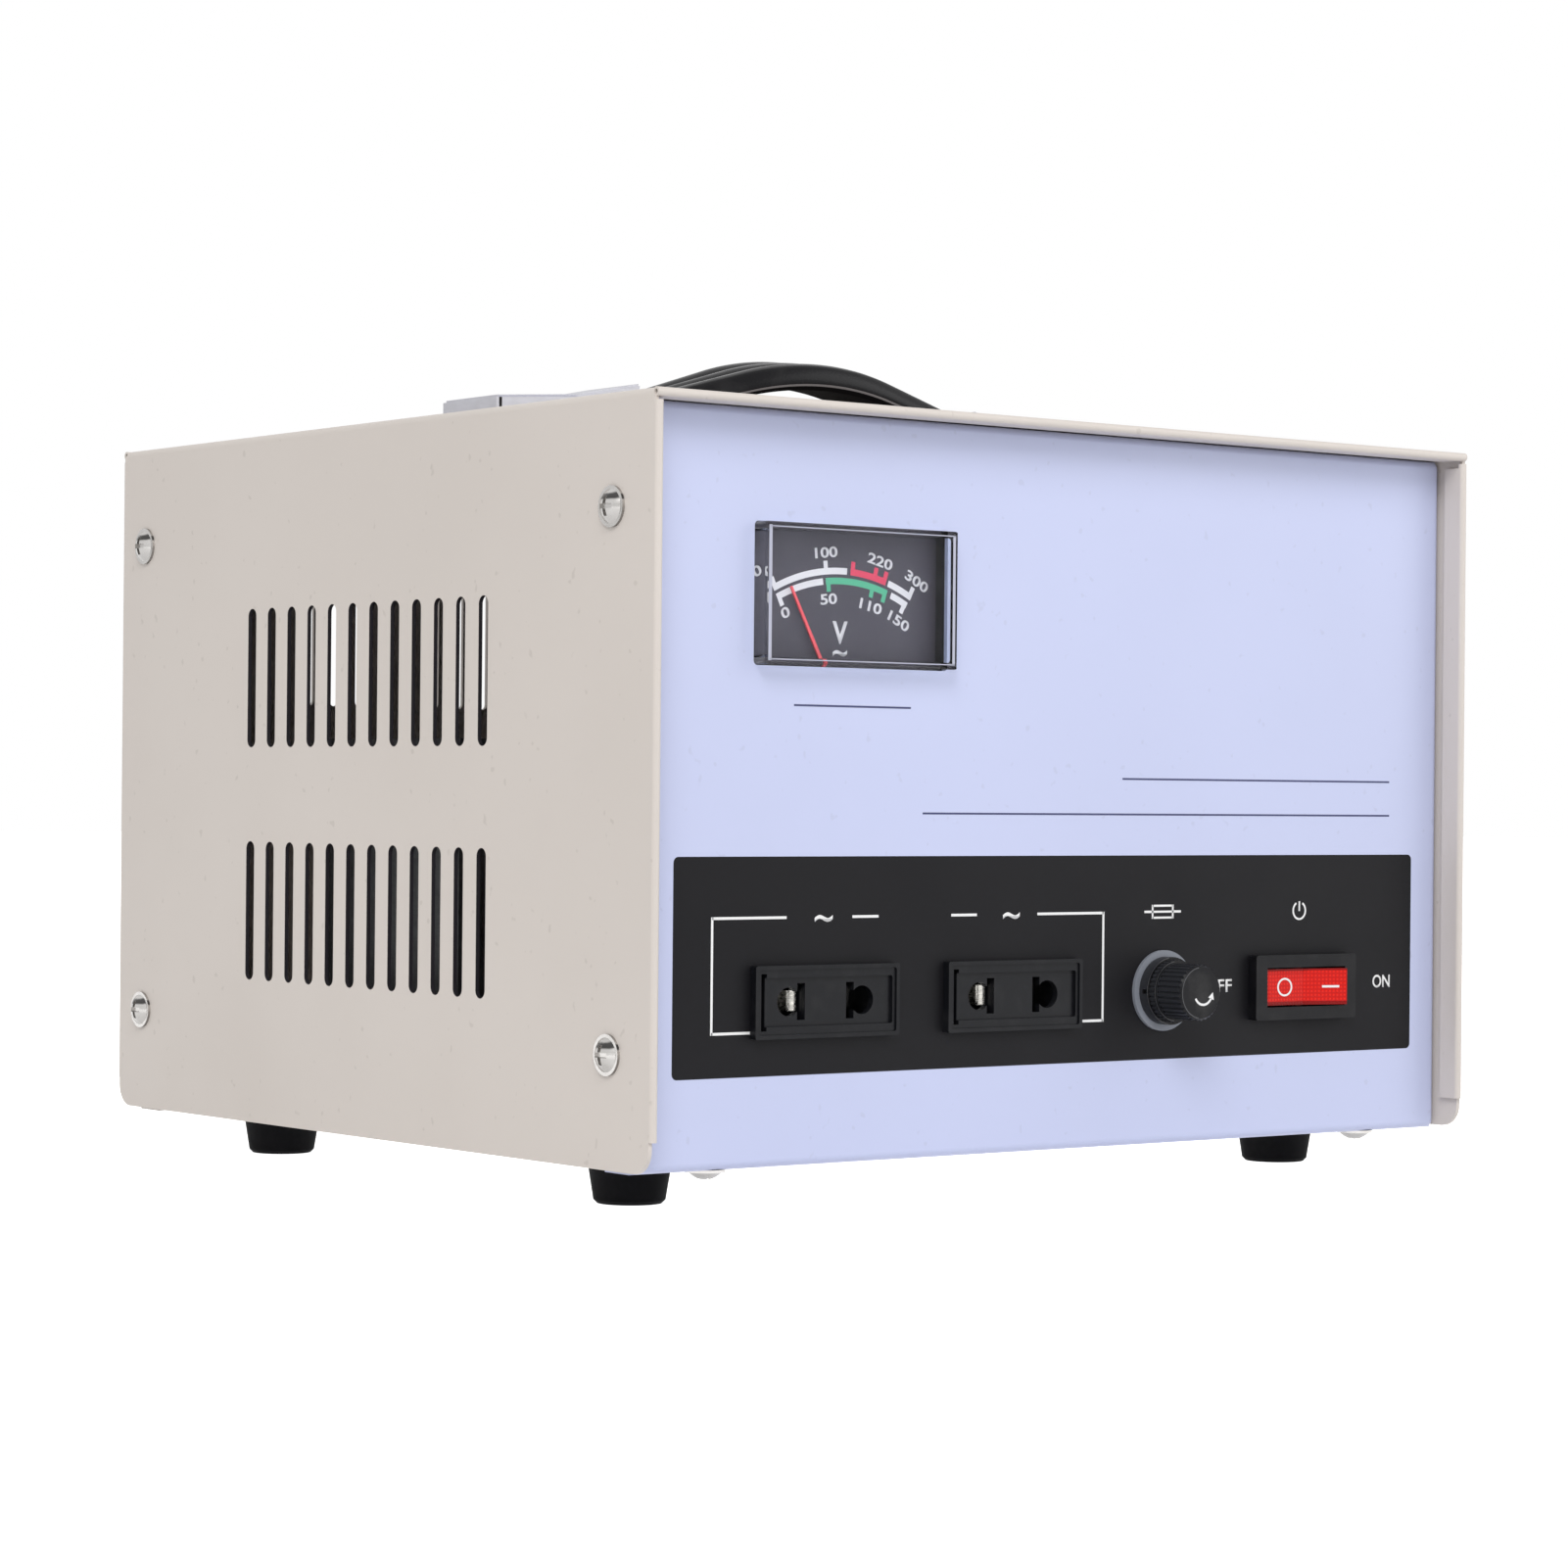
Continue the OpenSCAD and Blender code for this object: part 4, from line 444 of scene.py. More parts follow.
# %% Choose the plastics on the inside
nylon = make_finish("bobbin nylon", moulded_plastic, (0.72, 0.68, 0.55), bump=0.15,
                    Dust=0.2, Roughness=0.5)
relay_plastic = make_finish("relay plastic", moulded_plastic, (0.02, 0.075, 0.22), bump=0.15,
                            Dust=0.2, Roughness=0.4)
terminal_plastic = make_finish("terminal plastic", moulded_plastic, (0.03, 0.26, 0.09), bump=0.15,
                               Dust=0.2, Roughness=0.45)
capacitor_sleeve = make_finish("capacitor sleeve", moulded_plastic, (0.012, 0.02, 0.06), bump=0.1,
                               Dust=0.15, Roughness=0.3)
count_finishes("inner plastics")

# %% [markdown]
# ### Inks
#
# Marks on the panel and the dial are screen printed, which leaves a flat colour with a faint
# unevenness. An image of the marks could lie on the paint, but each mark is a piece of its own
# here, so an ink is a plain finish.

# %% Mix the inks
def make_print(name, color, shine=0.5):
    """Screen-printed ink: a flat colour with a faint unevenness from the screen."""
    return make_finish(name, baked_paint, color, bump=0.05, shine=shine, Drift=0.12, Specks=0.15,
                       Roughness=0.5)


black_ink = make_print("black ink", (0.0065, 0.0063, 0.0078), shine=0.13)
white_ink = make_print("white ink", (0.82, 0.82, 0.82))
dial_white = make_print("dial white", (0.7, 0.68, 0.71))
shadow_black = make_print("shadow black", (0.012, 0.011, 0.012), shine=0.1)
navy_ink = make_print("navy ink", (0.035, 0.04, 0.12))
red_ink = make_print("red ink", (0.68, 0.05, 0.11))
green_ink = make_print("green ink", (0.08, 0.42, 0.25))
count_finishes("inks")

# %% [markdown]
# ### Clear plastic and glass
#
# The meter's window and the fuse's tube let light through. A fully transmitting shader would bend
# it as thick glass does. The window is a thin moulded box, so it takes a lower index than solid
# plastic, and the dial behind it stays in its place.

# %% Make the clear plastic and the glass
def make_clear(name, color, roughness, ior):
    material = bpy.data.materials.new(name)
    material.use_nodes = True
    shader = material.node_tree.nodes["Principled BSDF"]
    shader.inputs["Base Color"].default_value = (*color, 1)
    shader.inputs["Roughness"].default_value = roughness
    shader.inputs["IOR"].default_value = ior
    shader.inputs["Transmission Weight"].default_value = 1.0
    return material


clear_plastic = make_clear("clear styrene", (0.93, 0.95, 0.97), roughness=0.03, ior=1.2)
fuse_glass = make_clear("fuse glass", (0.9, 0.93, 0.92), roughness=0.05, ior=1.45)
count_finishes("clear finishes")

# %% [markdown]
# ## Finishes with a pattern of their own
#
# Six finishes need more than an effect: bright nickel with a painted reflection band, the strap's
# vinyl with painted highlights and painted shade, the case paint with painted shade on its slot
# edges, the fuse holder with a painted highlight on its sides, the rocker with painted shade on its
# rims, and the winding. Each starts as a finish like the others, and some steps are then put
# between its effect and its shader.

# %% Helpers that open a finish and read place and facing
def open_finish(material):
    """The node tree of a finish, with its shader, its effect and its bump."""
    tree = material.node_tree
    effect = next(node for node in tree.nodes if node.type == "GROUP")
    bump = next(node for node in tree.nodes if node.type == "BUMP")
    return tree, tree.nodes["Principled BSDF"], effect, bump


def coordinate_in(tree, kind):
    """Object coordinates for the place on a piece, or Normal for where it faces."""
    return tree.nodes.new("ShaderNodeTexCoord").outputs[kind]


def axes_in(tree, kind):
    """X, Y and Z of a coordinate, each by itself."""
    split = tree.nodes.new("ShaderNodeSeparateXYZ")
    tree.links.new(coordinate_in(tree, kind), split.inputs[0])
    return split.outputs


def between(tree, value, low, high):
    """1 where a value lies between two limits, and 0 elsewhere."""
    above = math_in(tree, "GREATER_THAN", value, low)
    return math_in(tree, "MULTIPLY", above, math_in(tree, "LESS_THAN", value, high))


print("a finish opens into its tree, shader, effect and bump")

# %% [markdown]
# ### Bright nickel
#
# A domed head mirrors the whole room, and the room's dark corners show as a band on its upper half.
# The corners could be built as real dark screens, but these would dim everything else too. So the
# band is a painted reflection: tones that follow how far a face looks up are multiplied into the
# colour, and they stay with the screw.

# %% Plate the screws with bright nickel and a painted reflection band
PAINTED_REFLECTION_TONES = [(0.0, 0.36), (0.42, 0.5), (0.55, 0.8), (0.63, 0.78), (0.67, 0.09), (0.76, 0.12),
                (0.8, 0.8), (1.0, 0.45)]


def make_bright_nickel():
    material = make_finish("bright nickel", drawn_metal, (0.74, 0.72, 0.7), metallic=1.0,
                           bump=0.05, Tarnish=0.3, Roughness=0.14)
    tree, shader, effect, bump = open_finish(material)
    tones = tree.nodes.new("ShaderNodeValToRGB")
    looks_up = ramp_in(tree, axes_in(tree, "Normal")["Z"], -1, 1)
    tree.links.new(looks_up, tones.inputs["Fac"])
    stops = tones.color_ramp.elements
    stops[0].position = PAINTED_REFLECTION_TONES[0][0]
    stops[1].position = PAINTED_REFLECTION_TONES[-1][0]
    for spot, tone in PAINTED_REFLECTION_TONES[1:-1]:
        stops.new(spot)
    for stop, (spot, tone) in zip(stops, PAINTED_REFLECTION_TONES):
        stop.color = (tone, tone, tone, 1)
    # Painted reflection: the tones darken the colour in a band where a face looks partly up.
    with_painted_reflection = mix_in(tree, 1.0, effect.outputs["Color"], tones.outputs["Color"], "MULTIPLY")
    tree.links.new(with_painted_reflection, shader.inputs["Base Color"])
    return material


bright_nickel = make_bright_nickel()
print("nickel tones:", len(PAINTED_REFLECTION_TONES))

# %% [markdown]
# ### Strap vinyl
#
# The strap is moulded with a fine leather grain. The cells of a Voronoi pattern look like such a
# grain when their borders are sunk. A painted highlight makes the strap paler along the crowns of
# its ribs, where the faces look up. Its underside takes a darker, duller copy of the vinyl as
# painted shade, and a painted highlight runs along its lower edge.

# %% Make the strap's vinyl, its shaded back and its edge highlight
LEATHER_CELLS = 900
CROWN_FROM = 0.92
CROWN_TO = 0.975
CROWN_HIGHLIGHT_TONE = (0.05, 0.049, 0.052, 1)


def make_strap_vinyl():
    material = make_finish("strap vinyl", moulded_plastic, (0.0055, 0.0053, 0.0066), bump=0.25,
                           shine=0.13, Dust=0.03, Roughness=0.25)
    tree, shader, effect, bump = open_finish(material)
    grain = tree.nodes.new("ShaderNodeTexVoronoi")
    grain.feature = "DISTANCE_TO_EDGE"
    grain.inputs["Scale"].default_value = LEATHER_CELLS
    tree.links.new(coordinate_in(tree, "Object"), grain.inputs["Vector"])
    tree.links.new(grain.outputs["Distance"], bump.inputs["Height"])
    # Painted highlight: faces that look up, along the ribs' crowns, take a paler tone.
    crown = ramp_in(tree, axes_in(tree, "Normal")["Z"], CROWN_FROM, CROWN_TO)
    highlighted = mix_in(tree, crown, effect.outputs["Color"], CROWN_HIGHLIGHT_TONE)
    tree.links.new(highlighted, shader.inputs["Base Color"])
    return material


strap_vinyl = make_strap_vinyl()
# Painted shade: the faces that look down take this darker, duller copy of the vinyl.
shaded_strap_back = make_finish("shaded strap back", moulded_plastic, (0.005, 0.0045, 0.005), bump=0.3,
                         shine=0.03, Dust=0.0, Roughness=0.85)
# Painted highlight: a paler row of faces along the strap's lower edge.
strap_edge_highlight = make_finish("strap edge highlight", moulded_plastic, (0.16, 0.15, 0.155), bump=0.1,
                         shine=0.4, Dust=0.1, Roughness=0.3)
count_finishes("strap finishes")

# %% [markdown]
# ### Case paint
#
# The vent slots are cut through the painted sheet, and their narrow cut edges lie in shadow. That
# shadow is painted into the case's colour as a dark tone. The solid is one mesh, so the edges are
# found by place and by facing: inside the field of the slots, and turned away from the side.

# %% Paint the case, with painted shade on the cut edges of its vent slots
VENT_FROM_Y_MM = 55
VENT_TO_Y_MM = 162
VENT_FROM_Z_MM = 30
VENT_TO_Z_MM = 118
CUT_EDGE_SHADE = (0.018, 0.016, 0.02, 1)
SIDE_ON = 0.5


def make_cover_paint():
    material = make_finish("cover paint", baked_paint, CASE_GREY, bump=0.12,
                           Drift=0.1, Specks=0.25, Roughness=0.42)
    tree, shader, effect, bump = open_finish(material)
    spot = axes_in(tree, "Object")
    first = place(0, VENT_FROM_Y_MM, VENT_FROM_Z_MM)
    last = place(0, VENT_TO_Y_MM, VENT_TO_Z_MM)
    across = between(tree, spot["Y"], first.y, last.y)
    tall = between(tree, spot["Z"], first.z, last.z)
    edge_on = between(tree, axes_in(tree, "Normal")["X"], -SIDE_ON, SIDE_ON)
    # Painted shade: the cut edges inside the slot field take a dark colour.
    cut = math_in(tree, "MULTIPLY", math_in(tree, "MULTIPLY", across, tall), edge_on)
    painted = mix_in(tree, cut, effect.outputs["Color"], CUT_EDGE_SHADE)
    tree.links.new(painted, shader.inputs["Base Color"])
    return material


cover_paint = make_cover_paint()
print("slots lie from", VENT_FROM_Y_MM, "to", VENT_TO_Y_MM, "mm back")

# %% [markdown]
# ### Fuse holder
#
# The holder and its cap are turned by fingers. Their sides catch the light as a grey sheen, which
# is painted: where a face looks to the side rather than to the front, a grey is mixed in.

# %% Blacken the fuse holder and paint a grey highlight on its sides
SIDE_SHEEN = (0.026, 0.027, 0.031, 1)


def make_fuse_black():
    material = make_finish("fuse black", moulded_plastic, (0.0055, 0.0055, 0.007), bump=0.15,
                           shine=0.14, Dust=0.1, Roughness=0.34)
    tree, shader, effect, bump = open_finish(material)
    # Painted highlight: faces that look sideways take a grey tone.
    sides = between(tree, axes_in(tree, "Normal")["Y"], -SIDE_ON, SIDE_ON)
    dust_and_sheen = mix_in(tree, sides, effect.outputs["Color"], SIDE_SHEEN)
    tree.links.new(dust_and_sheen, shader.inputs["Base Color"])
    return material


fuse_black = make_fuse_black()
print("fuse finish:", fuse_black.name)

# %% [markdown]
# ### Red rocker
#
# The rocker is a clear red lens over a fine moulded grid, and its long edges fall into shade, which
# is painted here as a darker red. A real lens over a real grid would cost many faces for something
# half a millimetre wide, so two crossed waves draw the grid, and two limits set the painted shade
# on the rims.

# %% Make the red rocker with its fine grid and painted shade on its rims
ROCKER_HALF_MM = 4.05
ROCKER_RIM_LOW_MM = 0.8
ROCKER_RIM_HIGH_MM = 0.4
GRID_WAVES = 360
GRID_RED = (0.82, 0.024, 0.014, 1)
RIM_SHADE_RED = (0.24, 0.006, 0.006, 1)


def make_rocker_red():
    material = make_finish("rocker red", moulded_plastic, (0.55, 0.01, 0.008), bump=0.5,
                           shine=0.12, Dust=0.0, Roughness=0.25)
    tree, shader, effect, bump = open_finish(material)
    bands = []
    for direction in ("X", "Z"):
        wave = tree.nodes.new("ShaderNodeTexWave")
        wave.bands_direction = direction
        wave.inputs["Scale"].default_value = GRID_WAVES
        tree.links.new(coordinate_in(tree, "Object"), wave.inputs["Vector"])
        bands.append(wave.outputs["Fac"])
    grid = math_in(tree, "MULTIPLY", bands[0], bands[1])
    lens = mix_in(tree, grid, effect.outputs["Color"], GRID_RED)
    low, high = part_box("switch_rocker")
    rocker_z = (low.z + high.z) / 2
    # Painted shade: outside the middle band, the rocker takes the darker rim red.
    inner = between(tree, axes_in(tree, "Object")["Z"],
                    rocker_z + (ROCKER_RIM_LOW_MM - ROCKER_HALF_MM) * MM,
                    rocker_z + (ROCKER_HALF_MM - ROCKER_RIM_HIGH_MM) * MM)
    tree.links.new(mix_in(tree, inner, RIM_SHADE_RED, lens), shader.inputs["Base Color"])
    tree.links.new(grid, bump.inputs["Height"])
    return material


rocker_red = make_rocker_red()
print("rocker finish:", rocker_red.name)

# %% [markdown]
# ### Wound wire
#
# The winding is hundreds of turns of lacquered copper. It can hardly be seen through the slots, so
# its turns are a bump of even waves on a plain solid, and not hundreds of rings.

# %% Wind the copper turns
TURN_WAVES = 330
TURN_DEPTH_M = 0.0004


def make_copper_turns():
    material = make_finish("copper turns", drawn_metal, (0.5, 0.2, 0.07), metallic=0.9, bump=0.6,
                           coat=0.5, Tarnish=0.3, Roughness=0.3)
    tree, shader, effect, bump = open_finish(material)
    wave = tree.nodes.new("ShaderNodeTexWave")
    wave.bands_direction = "Z"
    wave.inputs["Scale"].default_value = TURN_WAVES
    bump.inputs["Distance"].default_value = TURN_DEPTH_M
    tree.links.new(coordinate_in(tree, "Object"), wave.inputs["Vector"])
    tree.links.new(wave.outputs["Fac"], bump.inputs["Height"])
    return material


copper_turns = make_copper_turns()
count_finishes("finishes with patterns")

# %% [markdown]
# ## Dressing the model's own pieces
#
# The solids already have the right form, so most of them only take a finish. A table by finish
# keeps it short.

# %% Give each solid its finish
finishes = {
    cover_paint: ["cover"],
    rear_paint: ["rear_panel"],
    panel_paint: ["front_panel"],
    zinc_plate: ["base_plate", "foot_nuts", "side_nuts", "base_nuts", "handle_screws",
                 "handle_nuts", "meter_bridge", "meter_nuts", "transformer_brackets",
                 "core_bolts", "core_nuts", "bracket_nuts", "board_nuts"],
    bright_nickel: ["foot_screws", "side_screws", "base_screws", "bracket_bolts", "board_screws"],
    satin_cap: ["handle_cap_left", "handle_cap_right"],
    plain_brass: ["meter_frame", "board_standoffs", "earth_screw"],
    tinned_brass: ["socket_left_contacts", "socket_right_contacts", "fuse_terminals",
                   "switch_terminals"],
    shaft_steel: ["pointer_shaft"],
    core_iron: ["transformer_core"],
    sink_metal: ["heat_sink"],
    foot_rubber: ["foot_front_left", "foot_front_right", "foot_rear_left", "foot_rear_right"],
    meter_black: ["meter_case"],
    dial_paint: ["meter_dial"],
    pointer_paint: ["meter_pointer"],
    socket_plastic: ["socket_left", "socket_right"],
    fuse_black: ["fuse_holder", "fuse_cap"],
    fuse_plastic: ["fuse_nut", "cord_gland", "gland_nut"],
    ring_plastic: ["fuse_ring"],
    switch_plastic: ["switch_body"],
    nylon: ["transformer_bobbin"],
    relay_plastic: ["relays"],
    terminal_plastic: ["terminal_block"],
    board_lacquer: ["control_board"],
    capacitor_sleeve: ["capacitors"],
    clear_plastic: ["meter_window"],
    fuse_glass: ["fuse_link"],
    strap_vinyl: ["handle_strap"],
    rocker_red: ["switch_rocker"],
    copper_turns: ["transformer_winding", "meter_coil"],
}
dressed = 0
for material, names in finishes.items():
    for name in names:
        nodes[name].data.materials.clear()
        nodes[name].data.materials.append(material)
        dressed += 1
print("dressed", dressed, "of", len(nodes))

# %% [markdown]
# ## Printed marks
#
# Ink on a panel is a film a few hundredths of a millimetre thick. Modelled as a thin raised
# plate, it stays sharp from near by and never flickers against the paint under it. Every mark is
# drawn flat, turned to face the front, given its thickness, and left with its place in its mesh.

# %% Lay a flat mark on the front
INK_MM = 0.03
SEAT_MM = 0.01


def lay_flat_mark(name, material, x, y, z, turn=0.0, body="case", yaw=0.0, stretch=1.0):
    """Turns the flat mark just drawn in XY to face the front at a place, and gives it body."""
    mark = bpy.context.object
    mark.name = name
    mark.data.name = name
    upright = Matrix.Rotation(math.radians(90), 4, "X")
    roll = Matrix.Rotation(math.radians(-turn), 4, "Z")
    facing = Matrix.Rotation(math.radians(yaw), 4, "Z")
    widen = Matrix.Diagonal((stretch, 1, 1, 1))
    mark.matrix_world = (Matrix.Translation(place(x, y - SEAT_MM, z)) @ facing @ upright @ roll
                         @ widen)
    bpy.ops.object.transform_apply(location=True, rotation=True, scale=True)
    thick = mark.modifiers.new("ink", "SOLIDIFY")
    thick.thickness = INK_MM * MM
    thick.offset = 1
    bpy.ops.object.modifier_apply(modifier="ink")
    mark.data.materials.clear()
    mark.data.materials.append(material)
    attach(mark, body)
    return mark


print("marks reach", round(INK_MM + SEAT_MM, 3), "mm over their paint")

# %% [markdown]
# Three shapes make nearly all the marks: bars, words and arcs. A bar is a plane brought to size,
# and a word is text made a mesh. Each could be drawn point by point, but the operators leave clean
# faces and need only the sizes.

# %% Draw bars and words
CAPITAL_SHARE = 0.7
WELD_M = 0.00001


def print_bar(name, material, x, y, z, w, h, turn=0.0, **more):
    bpy.ops.object.select_all(action="DESELECT")
    bpy.ops.mesh.primitive_plane_add(size=1, location=(0, 0, 0))
    bpy.ops.object.mode_set(mode="EDIT")
    bpy.ops.transform.resize(value=(w * MM, h * MM, 1))
    bpy.ops.object.mode_set(mode="OBJECT")
    return lay_flat_mark(name, material, x, y, z, turn, **more)


def print_words(name, material, words, x, y, z, height, turn=0.0, weight=0.0, wide=1.0, **more):
    """Letters or figures, centred on a place. Their capital height is about 0.7 of the size."""
    bpy.ops.object.select_all(action="DESELECT")
    bpy.ops.object.text_add(location=(0, 0, 0))
    text = bpy.context.object
    text.data.body = words
    text.data.size = height / CAPITAL_SHARE * MM
    text.data.offset = weight * MM
    text.data.align_x = "CENTER"
    text.data.align_y = "CENTER"
    bpy.ops.object.convert(target="MESH")
    bpy.ops.object.mode_set(mode="EDIT")
    bpy.ops.mesh.select_all(action="SELECT")
    bpy.ops.mesh.remove_doubles(threshold=WELD_M)
    bpy.ops.transform.resize(value=(wide, 1, 1), center_override=(0, 0, 0))
    bpy.ops.object.mode_set(mode="OBJECT")
    return lay_flat_mark(name, material, x, y, z, turn, **more)


print("capitals are", CAPITAL_SHARE, "of the size of their text")

# %% [markdown]
# An arc starts as a circle. Its edge is extruded and drawn in, which leaves a ring of faces, and two
# cuts through the middle take away what lies outside its two angles. The cuts are exact, so an arc
# can start and end at any angle.

# %% Draw arcs
ARC_POINTS = 240
WHOLE_RING_DEG = 359


def print_arc(name, material, x, y, z, radius, width, start, end, **more):
    """A band of a ring, between two angles from upright, positive to the right."""
    bpy.ops.object.select_all(action="DESELECT")
    bpy.ops.mesh.primitive_circle_add(vertices=ARC_POINTS, radius=(radius + width / 2) * MM)
    bpy.ops.object.mode_set(mode="EDIT")
    bpy.ops.mesh.select_all(action="SELECT")
    bpy.ops.mesh.extrude_edges_move()
    ratio = (radius - width / 2) / (radius + width / 2)
    bpy.ops.transform.resize(value=(ratio, ratio, 1))
    if end - start < WHOLE_RING_DEG:
        for angle, sign in ((start, -1), (end, 1)):
            along = math.radians(angle)
            bpy.ops.mesh.select_all(action="SELECT")
            bpy.ops.mesh.bisect(plane_co=(0, 0, 0),
                                plane_no=(sign * math.cos(along), -sign * math.sin(along), 0),
                                clear_outer=True)
    bpy.ops.mesh.select_all(action="SELECT")
    bpy.ops.mesh.normals_make_consistent(inside=False)
    bpy.ops.object.mode_set(mode="OBJECT")
    ring = bpy.context.object
    if ring.data.polygons[0].normal.z < 0:
        ring.data.flip_normals()
    return lay_flat_mark(name, material, x, y, z, **more)


print("arcs have", ARC_POINTS, "points to a whole ring")

# %% [markdown]
# ### The black field
#
# The lower part of the panel is printed black behind the sockets, the fuse and the switch. The
# film has openings where those pieces pass through the panel, cut by a boolean with plain blocks.

# %% Print the black field
FIELD = dict(left=-104.7, right=105.1, low=18.0, high=62.5)
FIELD_CORNER_MM = 1.2
FIELD_CORNER_STEPS = 6
OPENING_IN_MM = 1.6
CUTTER_DEEP_MM = 2
control_pieces = ["socket_left", "socket_right", "fuse_holder", "switch_body"]


def cut_opening(piece, node):
    """Cuts a block out of a mark, a little smaller than the node that covers the opening."""
    low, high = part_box(node)
    bpy.ops.object.select_all(action="DESELECT")
    middle = (low + high) / 2
    bpy.ops.mesh.primitive_cube_add(size=1, location=(middle.x, place(0, panel_y, 0).y, middle.z))
    cutter = bpy.context.object
    cutter.dimensions = (high.x - low.x - 2 * OPENING_IN_MM * MM, CUTTER_DEEP_MM * MM,
                         high.z - low.z - 2 * OPENING_IN_MM * MM)
    bpy.ops.object.transform_apply(location=True, rotation=True, scale=True)
    bpy.ops.object.select_all(action="DESELECT")
    bpy.context.view_layer.objects.active = piece
    piece.select_set(True)
    cut = piece.modifiers.new("opening", "BOOLEAN")
    cut.object = cutter
    cut.operation = "DIFFERENCE"
    bpy.ops.object.modifier_apply(modifier="opening")
    bpy.data.objects.remove(cutter)


def print_black_field():
    wide = FIELD["right"] - FIELD["left"]
    tall = FIELD["high"] - FIELD["low"]
    bpy.ops.object.select_all(action="DESELECT")
    bpy.ops.mesh.primitive_plane_add(size=1, location=(0, 0, 0))
    bpy.ops.object.mode_set(mode="EDIT")
    bpy.ops.transform.resize(value=(wide * MM, tall * MM, 1))
    bpy.ops.mesh.select_all(action="SELECT")
    bpy.ops.mesh.bevel(offset=FIELD_CORNER_MM * MM, segments=FIELD_CORNER_STEPS,
                       affect="VERTICES")
    bpy.ops.object.mode_set(mode="OBJECT")
    field = lay_flat_mark("print_black_field", black_ink, (FIELD["left"] + FIELD["right"]) / 2,
                          panel_y, (FIELD["low"] + FIELD["high"]) / 2)
    for node in control_pieces:
        cut_opening(field, node)
    print("black field", round(wide, 1), "by", round(tall, 1), "mm")


print_black_field()

# %% [markdown]
# ### Lines and signs on the black field
#
# White lines bracket the two sockets, with gaps over each one. Plain signs stand for what the
# pieces do: a wave for alternating current, a box on a line for the fuse, ON and OFF at the switch.

# %% Print the bracket round the sockets
BRACKET = dict(left=-95.0, right=10.2, high=50.1, low=26.9)
LINE_MM = 0.55
# Each run goes from one X to another.
top_runs = [(BRACKET["left"], -76.2), (-59.1, -52.2), (-32.6, -25.6), (-8.7, BRACKET["right"])]
over_field_y = panel_y - INK_MM
for number, (left, right) in enumerate(top_runs):
    print_bar(f"print_bracket_top_{number}", white_ink, (left + right) / 2, over_field_y,
              BRACKET["high"], right - left, LINE_MM)
for side in ("left", "right"):
    print_bar(f"print_bracket_{side}", white_ink, BRACKET[side], over_field_y,
              (BRACKET["high"] + BRACKET["low"]) / 2, LINE_MM,
              BRACKET["high"] - BRACKET["low"] + LINE_MM)
bezel_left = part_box("socket_left")[0].x / MM
bezel_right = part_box("socket_right")[1].x / MM
for number, (left, right) in enumerate([(BRACKET["left"], bezel_left),
                                        (bezel_right, BRACKET["right"])]):
    print_bar(f"print_bracket_stub_{number}", white_ink, (left + right) / 2, over_field_y,
              BRACKET["low"], right - left, LINE_MM)
print("bracket of", len(top_runs), "top runs")

# %% [markdown]
# The signs stand in the middle over the piece that they belong to. That middle is read from the
# model and not typed, so a sign would follow if its piece were moved. The wave is a character of
# the font, which is the quickest way to an even curve.

# %% Print a wave over each socket
WAVE_Z = 50.1
WAVE_MM = 6.0
WORD_WEIGHT = 0.05
for number, node in enumerate(["socket_left", "socket_right"]):
    print_words(f"print_wave_{number}", white_ink, "~", middle_of(node)[0], over_field_y, WAVE_Z,
                WAVE_MM, weight=WORD_WEIGHT)
print("waves: 2")

# %% [markdown]
# In wiring plans a fuse is drawn as a box on a line. Seven bars make it: two tails, the wire
# through the box, and the four sides. A bar for each line keeps all of them at their own width.

# %% Print the fuse sign: a box on a line
FUSE_SIGN_Z = 50.2
FUSE_BOX_W = 6.0
FUSE_BOX_H = 2.6
THIN_LINE_MM = 0.45
FUSE_TAIL_MM = 2.4
FUSE_TAIL_LINE_MM = 0.5
tail_shift = (FUSE_BOX_W + FUSE_TAIL_MM) / 2
fuse_x = middle_of("fuse_ring")[0]
fuse_lines = [(-tail_shift, FUSE_TAIL_MM, FUSE_TAIL_LINE_MM),
              (tail_shift, FUSE_TAIL_MM, FUSE_TAIL_LINE_MM), (0, FUSE_BOX_W, THIN_LINE_MM)]
fuse_sides = [(0, FUSE_BOX_H / 2, FUSE_BOX_W, THIN_LINE_MM),
              (0, -FUSE_BOX_H / 2, FUSE_BOX_W, THIN_LINE_MM),
              (-FUSE_BOX_W / 2, 0, THIN_LINE_MM, FUSE_BOX_H + THIN_LINE_MM),
              (FUSE_BOX_W / 2, 0, THIN_LINE_MM, FUSE_BOX_H + THIN_LINE_MM)]
for number, (shift, w, h) in enumerate(fuse_lines):
    print_bar(f"print_fuse_line_{number}", white_ink, fuse_x + shift, over_field_y, FUSE_SIGN_Z,
              w, h)
for number, (shift, rise, w, h) in enumerate(fuse_sides):
    print_bar(f"print_fuse_box_{number}", white_ink, fuse_x + shift, over_field_y,
              FUSE_SIGN_Z + rise, w, h)
print("fuse sign of", len(fuse_lines) + len(fuse_sides), "bars")

# %% [markdown]
# The power sign is a ring that is open at the top, with a bar in the gap. The ring is drawn as two
# halves, because an arc is cut by two lines through its middle and so can't pass half a turn. ON and
# OFF stand beside the switch.

